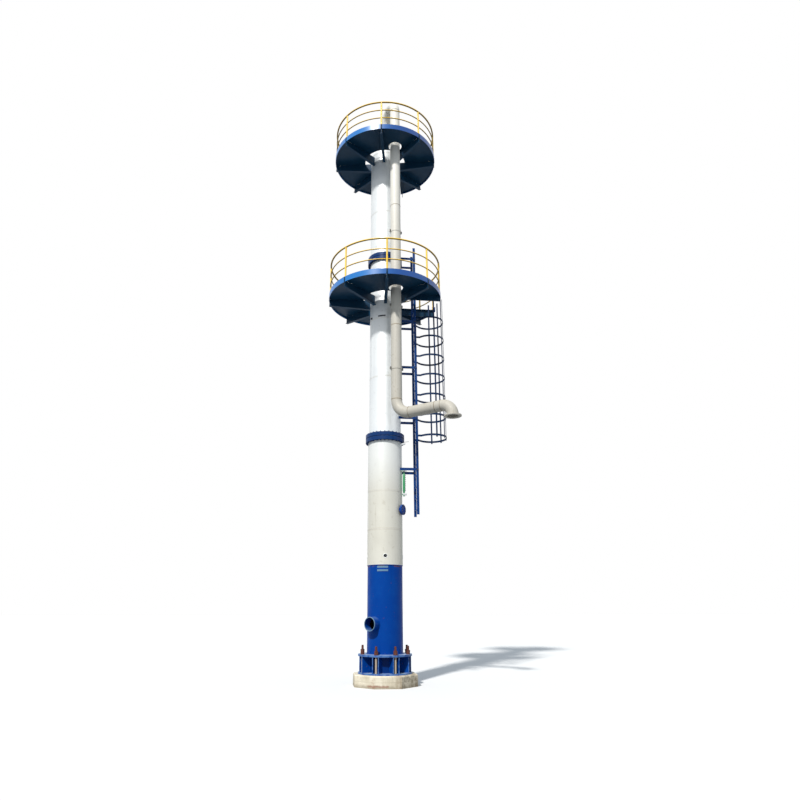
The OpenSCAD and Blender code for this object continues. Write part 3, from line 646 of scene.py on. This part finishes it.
def closeTree(grow, geometry, finish):
    real = grow.add("GeometryNodeRealizeInstances", {"Geometry": geometry})
    painted = grow.add("GeometryNodeSetMaterial", {"Geometry": real, "Material": finish})
    grow.add("NodeGroupOutput", {0: painted})
    return grow.tree


def closeArray(grow, given, points, rotation):
    shape = grow.add("GeometryNodeObjectInfo", {"Object": given["Shape"]}).outputs["Geometry"]
    copies = grow.add("GeometryNodeInstanceOnPoints", {"Points": points, "Instance": shape, "Rotation": rotation})
    return closeTree(grow, copies, given["Finish"])


def makeRoundArray():
    # rows and columns of a shape on a round wall; each copy looks outwards from the axis
    grow, given = newGeometryTree("roundArray", Columns="Int", Rows="Int", Radius="Float", Start="Float",
                                  Step="Float", Low="Float", Pitch="Float", Shape="Object")
    index = grow.add("GeometryNodeInputIndex")
    column = grow.calc("MODULO", index, given["Columns"])
    row = grow.calc("FLOOR", grow.calc("DIVIDE", grow.plus(index, 0.01), given["Columns"]))
    angle = grow.calc("MULTIPLY_ADD", column, given["Step"], given["Start"])
    spot = grow.add("ShaderNodeCombineXYZ", {
        "X": grow.times(grow.calc("COSINE", angle), given["Radius"]),
        "Y": grow.times(grow.calc("SINE", angle), given["Radius"]),
        "Z": grow.calc("MULTIPLY_ADD", row, given["Pitch"], given["Low"])})
    points = grow.add("GeometryNodePoints", {"Count": grow.times(given["Columns"], given["Rows"]), "Position": spot})
    return closeArray(grow, given, points, grow.add("ShaderNodeCombineXYZ", {"Z": angle}))


def makeAimedArray():
    # a shape on each vertex of the base mesh, its X axis along the vertex's own aim
    grow, given = newGeometryTree("aimedArray", Shape="Object")
    aim = grow.add("GeometryNodeInputNamedAttribute", {"Name": "aim"}, data_type="FLOAT_VECTOR").outputs["Attribute"]
    turn = grow.add("FunctionNodeAlignRotationToVector", {"Vector": aim}, axis="X")
    return closeArray(grow, given, given["Geometry"], turn)


def makeBeadRun():
    # a round bead along the base mesh's edges, swelling and thinning a little as a hand-laid weld does
    grow, given = newGeometryTree("beadRun", Radius="Float", Ripple="Float", Waves="Float", Sides="Int")
    lines = grow.add("GeometryNodeMeshToCurve", {"Mesh": given["Geometry"]})
    unevenness = grow.noise(given["Waves"], 2.0, 0.5, grow.add("GeometryNodeInputPosition"))
    swell = grow.calc("MULTIPLY_ADD", grow.minus(unevenness, 0.5), given["Ripple"], 1.0)
    sized = grow.add("GeometryNodeSetCurveRadius", {"Curve": lines, "Radius": swell})
    ring = grow.add("GeometryNodeCurvePrimitiveCircle", {"Resolution": given["Sides"], "Radius": given["Radius"]})
    bead = grow.add("GeometryNodeCurveToMesh", {"Curve": sized, "Profile Curve": ring, "Fill Caps": True})
    if "Scale" in bead.inputs:
        grow.feed(bead.inputs["Scale"], swell)
    return closeTree(grow, bead, given["Finish"])


roundArray = makeRoundArray()
aimedArray = makeAimedArray()
beadRun = makeBeadRun()


def grown(tree, base, **values):
    # runs the tree on the base mesh and keeps the result as a plain mesh
    holder = placed("holder", base)
    modifier = holder.modifiers.new("grow", "NODES")
    modifier.node_group = tree
    for item in tree.interface.items_tree:
        if item.item_type == "SOCKET" and item.in_out == "INPUT" and item.name in values:
            modifier[item.identifier] = values[item.name]
    bpy.context.view_layer.update()
    mesh = bpy.data.meshes.new_from_object(holder.evaluated_get(bpy.context.evaluated_depsgraph_get()))
    holder.modifiers.remove(modifier)
    bpy.data.objects.remove(holder)
    return mesh


def roundRow(shape, finish, radius, start, step, low, columns, rows=1, pitch=0.0):
    return grown(roundArray, bpy.data.meshes.new("start"), Columns=columns, Rows=rows, Radius=radius,
                 Start=math.radians(start), Step=math.radians(step), Low=low, Pitch=pitch, Shape=shape, Finish=finish)


def aimedSet(shape, finish, spots):
    base = fillMesh([place for place, aim in spots], [])
    attribute = base.attributes.new("aim", "FLOAT_VECTOR", "POINT")
    for entry, (place, aim) in zip(attribute.data, spots):
        entry.vector = aim
    return grown(aimedArray, base, Shape=shape, Finish=finish)


def beadMesh(loops, finish, radius, ripple=0.5, waves=55.0, sides=8):
    # loops are (points, closed)
    points, edges = [], []
    for loop, closed in loops:
        first = len(points)
        points.extend(tuple(p) for p in loop)
        edges.extend((first + i, first + i + 1) for i in range(len(loop) - 1))
        if closed:
            edges.append((first + len(loop) - 1, first))
    base = bpy.data.meshes.new("lines")
    base.from_pydata(points, edges, [])
    return grown(beadRun, base, Radius=radius, Ripple=ripple, Waves=waves, Sides=sides, Finish=finish)


def finishPiece(name, meshes, finish, angle=35.0):
    mesh = joinedMesh(meshes)
    mesh.materials.clear()  # every face goes back to the first material
    mesh.materials.append(finish)
    mesh.polygons.foreach_set("use_smooth", [True] * len(mesh.polygons))
    mesh.set_sharp_from_angle(angle=math.radians(angle))
    piece = placed(name, mesh)
    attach(piece, "root")


def beadPiece(name, loops, finish, radius, ripple, waves=55.0, sides=8, angle=70.0):
    finishPiece(name, [beadMesh(loops, finish, radius, ripple, waves, sides)], finish, angle)


def ringLoop(centre, normal, radius, count=72):
    normal = Vector(normal).normalized()
    side = normal.orthogonal().normalized()
    up = normal.cross(side)
    turn = 2 * math.pi / count
    return [Vector(centre) + radius * (math.cos(i * turn) * side + math.sin(i * turn) * up)
            for i in range(count)], True


def saddleLoop(wallRadius, azimuth, height, neckRadius, count=40):
    # the line where a round neck meets the round wall
    loop = []
    for i in range(count):
        angle = 2 * math.pi * i / count
        across = neckRadius * math.cos(angle)
        spot = turned(azimuth) @ Vector((math.sqrt(wallRadius ** 2 - across ** 2), across, 0.0))
        spot.z = height + neckRadius * math.sin(angle)
        loop.append(spot)
    return loop, True


# studs and nuts of the two body flanges
bodyStudSizes = dict(
    count=28, edge=0.0315, stud=0.0100, nut=0.0180, nutHeight=0.015, washer=0.0205, washerHeight=0.004,
    thread=0.005, turn=6.0)


def makeBodyStuds(count, edge, stud, nut, nutHeight, washer, washerHeight, thread, turn):
    rows = []
    for node in ("lower_body_flanges", "upper_body_flanges"):
        low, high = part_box(node)
        half = (high.z - low.z) / 2
        seat = half + washerHeight
        end = seat + nutHeight
        parts = [barPart(stud, -end - thread, end + thread)]
        for side in (-1, 1):
            parts.append(barPart(washer, *sorted((side * (half - 0.001), side * seat)), 16))
            parts.append(hexPart(nut, *sorted((side * seat, side * end)), 12.0))
        rows.append(roundRow(shapeOf(turnedMesh(parts)), ringFinish, high.x - edge, turn, 360.0 / count,
                             (low.z + high.z) / 2, count))
    finishPiece("body_flange_studs", rows, ringFinish)


makeBodyStuds(**bodyStudSizes)


# studs and gasket of the top nozzle's joint
nozzleStudSizes = dict(
    count=12, circle=0.1775, turn=15.0, jointZ=14.95, half=0.0275, stud=0.0115, nut=0.0205, nutHeight=0.021,
    thread=0.012, gasket=0.158, gasketLine=0.0014)


def makeNozzleStuds(count, circle, turn, jointZ, half, stud, nut, nutHeight, thread, gasket, gasketLine):
    end = half + nutHeight
    shape = shapeOf(turnedMesh([barPart(stud, -end - thread, end + thread), hexPart(nut, half, end, 9.0),
                                hexPart(nut, -end, -half, 21.0)]))
    studs = roundRow(shape, darkFinish, circle, turn, 360.0 / count, jointZ, count)
    finishPiece("nozzle_joint_studs", [studs], darkFinish)
    beadPiece("nozzle_joint_gasket", [ringLoop((0, 0, jointZ), upwards, gasket, 64)], finishes["gasket"],
              gasketLine, 0.0, 1.0, angle=60.0)


makeNozzleStuds(**nozzleStudSizes)


# bolts of the drain nozzle's blind and the joint line between flange and blind
drainSizes = dict(
    azimuth=-33.0, z=3.86, joint=0.478, thick=0.022, flange=0.125, circle=0.0975, bolts=8, turn=22.5,
    bolt=0.0085, tail=0.022, tip=0.004, head=0.0155, headHeight=0.012, nutHeight=0.014, line=0.0018)


def makeDrainBolts(azimuth, z, joint, thick, flange, circle, bolts, turn, bolt, tail, tip, head, headHeight,
                   nutHeight, line):
    near, far = joint - thick, joint + thick
    shape = shapeOf(turnedMesh([barPart(bolt, near - tail, far + tip), hexPart(head, far, far + headHeight),
                                hexPart(head, near - nutHeight, near, 15.0)]))
    row = roundRow(shape, darkFinish, circle, turn, 360.0 / bolts, 0.0, bolts)
    joined = beadMesh([ringLoop((0, 0, joint), upwards, flange - 0.0004, 64)], darkFinish, line, 0.0, 1.0)
    # both are made about Z and then laid along the nozzle
    for mesh in (row, joined):
        mesh.transform(moved(0, 0, z) @ turned(azimuth) @ alongX)
    finishPiece("drain_blind_bolts", [row], darkFinish)
    finishPiece("drain_joint_line", [joined], darkFinish, 60.0)


makeDrainBolts(**drainSizes)
print("flange bolting made")


# weld beads on the shell: seams as azimuth, low and high, sockets as azimuth, height and neck radius
shellWeldSizes = dict(
    skirt=0.410, base=0.420, baseTop=5.5, shell=0.400, girthBead=0.0035, socketBead=0.006, neckBead=0.009,
    seams=[(-168, 3.40, 4.30), (30, 4.30, 5.53), (140, 5.75, 7.24), (-150, 7.24, 8.885), (60, 8.885, 10.62),
           (-20, 10.84, 12.20), (170, 12.20, 14.21)],
    sockets=[(-18.0, 4.25, 0.019), (-18.0, 4.83, 0.019), (-36.0, 5.47, 0.019)],
    vents=[(-95.0 + 90.0 * i, 2.775, 0.044) for i in range(4)], sleeve=(-133.0, 1.29, 0.151),
    drain=(-33.0, 3.86, 0.071), topNeck=(14.442, 0.1415),
    skirtRings=[(0.281, 0.413), (0.656, 0.413), (2.573, 0.414)], sleeveReach=0.570, lip=0.145, lipBead=0.0095)


def makeShellWelds(sizes):
    steel = finishes["shell_steel"]
    base, skirt = sizes["base"], sizes["skirt"]

    def wall(height):
        return base if height < sizes["baseTop"] else sizes["shell"]

    loops = [ringLoop((0, 0, height), upwards, wall(height), 144) for height in shellWelds]
    # upright seams, each course turned from the last
    for azimuth, low, high in sizes["seams"]:
        loops.append(([polar(wall(low), azimuth, low + (high - low) * i / 24) for i in range(25)], False))
    beadPiece("shell_welds", loops, steel, sizes["girthBead"], 0.7, 60.0)
    loops = [saddleLoop(base, *neck) for neck in sizes["sockets"] + sizes["vents"]]
    loops.append(ringLoop((0, 0, sizes["topNeck"][0]), upwards, sizes["topNeck"][1]))
    beadPiece("shell_neck_welds", loops, steel, sizes["socketBead"], 0.6, 60.0)
    loops = [saddleLoop(skirt, *sizes["sleeve"], 64), saddleLoop(base, *sizes["drain"], 48)]
    loops += [ringLoop((0, 0, height), upwards, radius, 96) for height, radius in sizes["skirtRings"]]
    beadPiece("blue_neck_welds", loops, finishes["blue_paint"], sizes["neckBead"], 0.4)
    # the rolled edge of the access sleeve, in the pale bare-plate finish, which paints the highlights along its lip
    azimuth, height, neck = sizes["sleeve"]
    loop = ringLoop(polar(sizes["sleeveReach"], azimuth, height), polar(1.0, azimuth), sizes["lip"], 96)
    beadPiece("sleeve_lip", [loop], tagFinish, sizes["lipBead"], 0.1, 30.0, 10)


# fillet welds of the anchor chairs
gussetWeldSizes = dict(
    wall=0.412, count=8, turn=18.5, pairHalf=0.0675, faceHalf=0.0095, low=0.308, rise=0.279,
    ringWelds=(0.282, 0.613), start=0.44, reach=0.15, bead=0.008)


def makeGussetWelds(wall, count, turn, pairHalf, faceHalf, low, rise, ringWelds, start, reach, bead):
    loops = []
    for i in range(count):
        chair = turned(turn + 360.0 / count * i)
        for side in (-1, 1):
            for face in (-1, 1):
                across = side * pairHalf + face * faceHalf
                out = math.sqrt(wall ** 2 - across ** 2)
                loops.append(([chair @ Vector((out, across, low + rise * k / 10)) for k in range(11)], False))
                for height in ringWelds:
                    loops.append(([chair @ Vector((start + reach * k / 8, across, height)) for k in range(9)], False))
    beadPiece("gusset_welds", loops, finishes["blue_paint"], bead, 0.4, 60.0, 6)


# weld beads of the vapour line
pipeWeldSizes = dict(
    bead=0.005, radius=0.1365, bend=0.381, outletBend=0.273, azimuth=-74.0, crossAzimuth=-40.0, crossZ=6.095,
    crossMiddle=1.105, crossLength=1.53, topBendZ=15.38, neckWelds=(14.980, 14.920), outletZ=5.817)


def makePipeWelds(bead, radius, bend, outletBend, azimuth, crossAzimuth, crossZ, crossMiddle, crossLength, topBendZ,
                  neckWelds, outletZ):
    away, cross = polar(1.0, azimuth), polar(1.0, crossAzimuth)
    column = away * (2 * bend)
    loops = [ringLoop((0, 0, topBendZ), upwards, radius),
             ringLoop(away * bend + Vector((0, 0, topBendZ + bend)), away, radius)]
    loops += [ringLoop((0, 0, height), upwards, radius + 0.002) for height in neckWelds]
    loops += [ringLoop(column + Vector((0, 0, height)), upwards, radius) for height in pipeWelds]
    for along in (bend, crossMiddle, crossLength - outletBend):
        loops.append(ringLoop(column + cross * along + Vector((0, 0, crossZ)), cross, radius))
    loops.append(ringLoop(column + cross * crossLength + Vector((0, 0, outletZ)), upwards, radius))
    beadPiece("pipe_welds", loops, weldFinish, bead, 0.7, 60.0)


makeShellWelds(shellWeldSizes)
makeGussetWelds(**gussetWeldSizes)
makePipeWelds(**pipeWeldSizes)
print("weld beads made")


# cut threads at the ends of the anchor bolts
threadSizes = dict(
    circle=0.55, count=8, turn=18.5, low=0.7431, high=0.8317, pitch=0.0054, root=0.0241, crest=0.0266,
    sides=24)


def makeThreads(circle, count, turn, low, high, pitch, root, crest, sides):
    # one helical ridge, its upper end run out to the root
    length = high - low
    rows = int(length / pitch * 4)
    points, faces = [], []
    for row in range(rows + 1):
        for i in range(sides):
            height = length * row / rows
            ridge = 1.0 - abs(2.0 * ((height / pitch - i / sides) % 1.0) - 1.0)
            fade = min(1.0, (length - height) / (1.5 * pitch))
            points.append(polar(root + (crest - root) * ridge * fade, 360.0 * i / sides, height))
    for row in range(rows):
        for i in range(sides):
            j = (i + 1) % sides
            faces.append((row * sides + i, row * sides + j, (row + 1) * sides + j, (row + 1) * sides + i))
    faces.append(tuple(reversed(range(sides))))
    faces.append(tuple(range(rows * sides, (rows + 1) * sides)))
    rust = finishes["rusty_steel"]
    threads = roundRow(shapeOf(fillMesh(points, faces)), rust, circle, turn, 360.0 / count, low, count)
    finishPiece("anchor_bolt_threads", [threads], rust, 60.0)


makeThreads(**threadSizes)


# feet and clamps of the guard-rail posts, and the cleats over the toe plates' joints
platformSizes = {
    "lower": dict(deckZ=9.58, deckRadius=1.52, hatch=0.0, turn=-4.0),
    "upper": dict(deckZ=14.14, deckRadius=1.46, hatch=80.0, turn=0.0),
}
postSizes = dict(
    post=0.0225, inset=0.0308, band=0.0262, bandHeight=0.030, bands=(0.022, 0.078), bolt=0.0065,
    boltLength=0.040, head=0.012, headLow=0.024, headHigh=0.033, foot=0.040, footHeight=0.008,
    footShift=-0.022, hatchHalf=0.46)


def bevelledBar(low, high, bevel):
    work = bmesh.new()
    for point in [(x, y, z) for x in (low[0], high[0]) for y in (low[1], high[1]) for z in (low[2], high[2])]:
        work.verts.new(point)
    bmesh.ops.convex_hull(work, input=work.verts)
    bmesh.ops.dissolve_limit(work, angle_limit=0.01, verts=work.verts, edges=work.edges)
    bmesh.ops.bevel(work, geom=list(work.edges), offset=bevel, segments=2, affect="EDGES", profile=0.5)
    bmesh.ops.recalc_face_normals(work, faces=work.faces)
    return meshFrom(work)


def makePostClamps(post, inset, band, bandHeight, bands, bolt, boltLength, head, headLow, headHigh, foot, footHeight,
                   footShift, hatchHalf):
    clamps = []
    for low in bands:
        high = low + bandHeight
        clamps.append(turnedMesh([(20, 0.0, [(post, low), (band, low), (band, high), (post, high)])]))
        clamps.append(turnedMesh([barPart(bolt, 0.0, boltLength, 10), hexPart(head, headLow, headHigh)],
                                 moved(0, 0, low + bandHeight / 2) @ turned(-90.0, "Y")))
    clamps.append(turnedMesh([barPart(foot, 0.0, footHeight, 20)], moved(footShift, 0, 0)))
    shape = shapeOf(*clamps)
    rows = []
    for platform in platformSizes.values():
        radius = platform["deckRadius"] - inset
        side = math.degrees(math.asin(hatchHalf / radius))
        # seven posts on the brackets, and two beside the hatch
        for start, step, count in ((platform["hatch"] + 45.0 + platform["turn"], 45.0, 7),
                                   (platform["hatch"] - side, 2 * side, 2)):
            rows.append(roundRow(shape, finishes["yellow_paint"], radius, start, step, platform["deckZ"], count))
    finishPiece("rail_post_clamps", rows, finishes["yellow_paint"])


cleatSizes = dict(
    half=0.022, low=-0.047, high=0.097, thick=0.003, rivet=0.007, rivetRise=0.0035,
    rivetHeights=(-0.032, 0.025, 0.081), rivetSide=0.011)


def makeToeCleats(half, low, high, thick, rivet, rivetRise, rivetHeights, rivetSide):
    parts = [bevelledBar((0.0, -half, low), (thick, half, high), 0.001)]
    for height in rivetHeights:
        for side in (-rivetSide, rivetSide):
            parts.append(turnedMesh([domePart(rivet, rivetRise, 10)], moved(thick - 0.0005, side, height) @ alongX))
    shape = shapeOf(*parts)
    rows = [roundRow(shape, finishes["navy_paint"], platform["deckRadius"] - 0.0002,
                     platform["hatch"] + 45.0 + platform["turn"], 45.0, platform["deckZ"], 7)
            for platform in platformSizes.values()]
    finishPiece("toe_plate_cleats", rows, finishes["navy_paint"])


makePostClamps(**postSizes)
makeToeCleats(**cleatSizes)


# nuts on the cage straps, inside the hoops; a cage is its turn, lowest bolt and rows
cageSizes = dict(
    hoopX=1.20, strapRadius=0.3612, columns=5, step=40.0, pitch=0.54, nut=0.0105, nutHeight=0.009, bolt=0.006,
    cages=((0.0, 5.725, 7), (80.0, 11.805, 5)))


def makeCageNuts(hoopX, strapRadius, columns, step, pitch, nut, nutHeight, bolt, cages):
    shape = shapeOf(turnedMesh([hexPart(nut, 0.0, nutHeight), barPart(bolt, 0.0, nutHeight + bolt, 8)],
                               turned(-90.0, "Y")))
    sets = []
    for turn, first, count in cages:
        row = roundRow(shape, darkFinish, strapRadius, -2 * step, step, first, columns, count, pitch)
        row.transform(turned(turn) @ moved(hoopX, 0, 0))
        sets.append(row)
    finishPiece("cage_nuts", sets, darkFinish)


makeCageNuts(**cageSizes)


# bolts of the ladders' wall bars, a ladder being its turn and the bars' heights, and of the pipe guides
ladderSizes = dict(
    radius=0.78, face=0.2405, bolt=0.008, head=0.014, depth=0.034, spread=0.018,
    ladders=((0.0, (4.86, 6.18, 7.55, 8.87, 10.783)), (80.0, (10.24, 11.60, 12.90))))
guideSizes = dict(
    heights=(7.30, 9.05, 11.29), azimuth=-74.0, axis=0.762, clamp=0.1448, bolt=0.009, head=0.016, depth=0.048,
    spread=0.017, face=0.019, lug=0.034, lugNear=0.008, lugFar=0.018, lugHalf=0.033, sunk=0.006)


def boltPiece(name, bolt, head, depth, spots):
    # through bolts, each along its own aim
    parts = [barPart(bolt, -depth, 0.008, 10), hexPart(head, 0.0, 0.010), hexPart(head, 0.004 - depth, 0.014 - depth)]
    finishPiece(name, [aimedSet(shapeOf(turnedMesh(parts, alongX)), darkFinish, spots)], darkFinish)


def makeLadderBolts(radius, face, bolt, head, depth, spread, ladders):
    spots = []
    for turn, heights in ladders:
        for height in heights:
            for side in (-1, 1):
                for offset in (-spread, spread):
                    spots.append((turned(turn) @ Vector((radius + offset, side * face, height)),
                                  turned(turn) @ Vector((0, side, 0))))
    boltPiece("ladder_bolts", bolt, head, depth, spots)


def makeGuideLugs(heights, azimuth, axis, clamp, bolt, head, depth, spread, face, lug, lugNear, lugFar, lugHalf,
                  sunk):
    # each clamp is two halves drawn together by a pair of bolts on each side
    lugs, spots = [], []
    for height in heights:
        spin = Matrix.Translation(polar(axis, azimuth, height)) @ turned(azimuth)
        for side in (-1, 1):
            for near, far in ((-lugFar, -lugNear), (lugNear, lugFar)):
                plate = bevelledBar((near, 0.0, -lugHalf), (far, lug + sunk, lugHalf), 0.002)
                plate.transform(spin @ turned(0.0 if side > 0 else 180.0) @ moved(0, clamp - sunk, 0))
                lugs.append(plate)
            for offset in (-spread, spread):
                spots.append((spin @ Vector((face, side * (clamp + lug * 0.5), offset)), polar(1.0, azimuth)))
    finishPiece("guide_lugs", lugs, finishes["pipe_steel"])
    boltPiece("guide_bolts", bolt, head, depth, spots)


makeLadderBolts(**ladderSizes)
makeGuideLugs(**guideSizes)
print("platform and ladder fixings made")


# painted plate on the skirt with two bare strips, held by four rivets
plateSizes = dict(
    azimuth=-104.0, low=2.425, high=2.555, half=19.0, radius=0.4104, thick=0.003, strip=0.042,
    stripThick=0.002, margin=0.006, rivet=0.007, rivetRise=0.004, rivetTurn=2.6, rivetIn=0.027)


def curvedPlate(azimuth, radius, thick, low, high, half, steps=16):
    points, faces = [], []
    for i in range(steps + 1):
        at = azimuth - half + 2 * half * i / steps
        points += [polar(out, at, height) for height in (low, high) for out in (radius, radius + thick)]
    for i in range(steps):
        a, b = 4 * i, 4 * (i + 1)
        faces += [(a + 1, b + 1, b + 3, a + 3), (a + 2, b + 2, b, a)]
        faces += [(a, b, b + 1, a + 1), (a + 3, b + 3, b + 2, a + 2)]
    end = 4 * steps
    faces += [(0, 1, 3, 2), (end + 2, end + 3, end + 1, end)]
    work = bmesh.new()
    work.from_mesh(fillMesh(points, faces))
    bmesh.ops.recalc_face_normals(work, faces=work.faces)
    return meshFrom(work)


def makeNamePlate(azimuth, low, high, half, radius, thick, strip, stripThick, margin, rivet, rivetRise, rivetTurn,
                  rivetIn):
    finishPiece("plate_holder", [curvedPlate(azimuth, radius, thick, low, high, half)], skirtFinish)
    front = radius + thick
    parts = [curvedPlate(azimuth, front - 0.0005, stripThick, foot, foot + strip, half - 1.0)
             for foot in (low + margin, high - margin - strip)]
    parts.append(roundRow(shapeOf(turnedMesh([domePart(rivet, rivetRise)], alongX)), tagFinish, front + 0.001,
                          azimuth - half + rivetTurn, 2 * (half - rivetTurn), low + rivetIn, 2, 2,
                          high - low - 2 * rivetIn))
    finishPiece("bare_plate", parts, tagFinish)


# small dark curved plates on the shell, as azimuth, thickness, half height, half angle and steps
shellMarkSizes = dict(z=8.93, radius=0.4004, darkMarks=((-108.0, 0.016, 0.014, 14.0, 16), (-156.0, 0.03, 0.022, 2.2, 4)))


def makeShellMarks(z, radius, darkMarks):
    finishPiece("shell_clips", [curvedPlate(azimuth, radius, thick, z - tall, z + tall, half, steps)
                                for azimuth, thick, tall, half, steps in darkMarks], darkFinish)


makeNamePlate(**plateSizes)
makeShellMarks(**shellMarkSizes)


# level gauge: armoured body, glass, bolts, cocks and hand wheels
gaugeSizes = dict(
    azimuth=-18.0, radius=0.475, cocks=(4.25, 4.83), half=0.032, depth=0.028, low=4.325, high=4.755, end=0.03,
    back=0.012, glassHalf=0.009, glassIn=0.005, bolt=0.005, head=0.009, boltDepth=0.02, boltSide=0.0205,
    boltRows=8, wheel=0.030, wheelOut=0.02)


def makeGauge(azimuth, radius, cocks, half, depth, low, high, end, back, glassHalf, glassIn, bolt, head, boltDepth,
              boltSide, boltRows, wheel, wheelOut):
    lay = turned(azimuth) @ moved(radius, 0, 0)
    outwards = polar(1.0, azimuth)
    bars = [bevelledBar((-depth, near, low), (depth, far, high), 0.003)
            for near, far in ((-half, -glassHalf), (glassHalf, half))]
    bars += [bevelledBar((-depth, -glassHalf, foot), (depth, glassHalf, foot + end), 0.001)
             for foot in (low, high - end)]
    bars.append(bevelledBar((-depth, -glassHalf, low), (depth - back, glassHalf, high), 0.001))
    body = joinedMesh(bars)
    body.transform(lay)
    finishPiece("gauge_body", [body], finishes["gauge_paint"])
    glass = bevelledBar((0.0, -glassHalf + 0.0005, low + end + 0.001),
                        (depth - glassIn, glassHalf - 0.0005, high - end - 0.001), 0.0015)
    glass.transform(lay)
    finishPiece("gauge_glass", [glass], glassFinish)
    spots = [(lay @ Vector((depth, side, low + end + (high - low - 2 * end) * i / (boltRows - 1))), outwards)
             for side in (-boltSide, boltSide) for i in range(boltRows)]
    boltPiece("gauge_bolts", bolt, head, boltDepth, spots)
    handWheel = [(18, 0.0, [(0.0, 0.0), (0.008, 0.0), (0.008, 0.040), (0.006, 0.042), (0.0, 0.042)]),
                 (18, 0.0, [(0.0, 0.028), (wheel - 0.004, 0.028), (wheel, 0.031), (wheel, 0.036),
                            (wheel - 0.004, 0.039), (0.0, 0.036)])]
    wheels = aimedSet(shapeOf(turnedMesh(handWheel, alongX)), finishes["gasket"],
                      [(lay @ Vector((wheelOut, 0, height)), outwards) for height in cocks])
    cock = turnedMesh([hexPart(0.031, -0.028, 0.028), barPart(0.034, -0.008, 0.008, 16)])
    bodies = aimedSet(shapeOf(cock), finishes["gasket"],
                      [(lay @ Vector((0, 0, height)), Vector((1, 0, 0))) for height in cocks])
    finishPiece("gauge_cocks", [wheels, bodies], finishes["gasket"])


makeGauge(**gaugeSizes)


# lever and gland of the instrument branch
branchSizes = dict(
    azimuth=-36.0, z=5.47, start=0.522, end=0.548, leverLow=(-0.010, -0.009, 0.040),
    leverHigh=(0.150, 0.009, 0.047))


def makeBranchCock(azimuth, z, start, end, leverLow, leverHigh):
    lay = moved(0, 0, z) @ turned(azimuth)
    stem = turnedMesh([barPart(0.011, 0.02, 0.045, 12), hexPart(0.014, 0.045, 0.055)])
    handle = joinedMesh([bevelledBar(leverLow, leverHigh, 0.003), stem])
    handle.transform(lay @ moved(start, 0, 0))
    plug = turnedMesh([barPart(0.021, end - 0.004, end + 0.014, 16), hexPart(0.017, end + 0.010, end + 0.026)],
                      lay @ alongX)
    finishPiece("branch_lever", [handle], darkFinish)
    finishPiece("branch_cock", [plug], finishes["gasket"])


makeBranchCock(**branchSizes)
print("gauge, plate and cocks made")
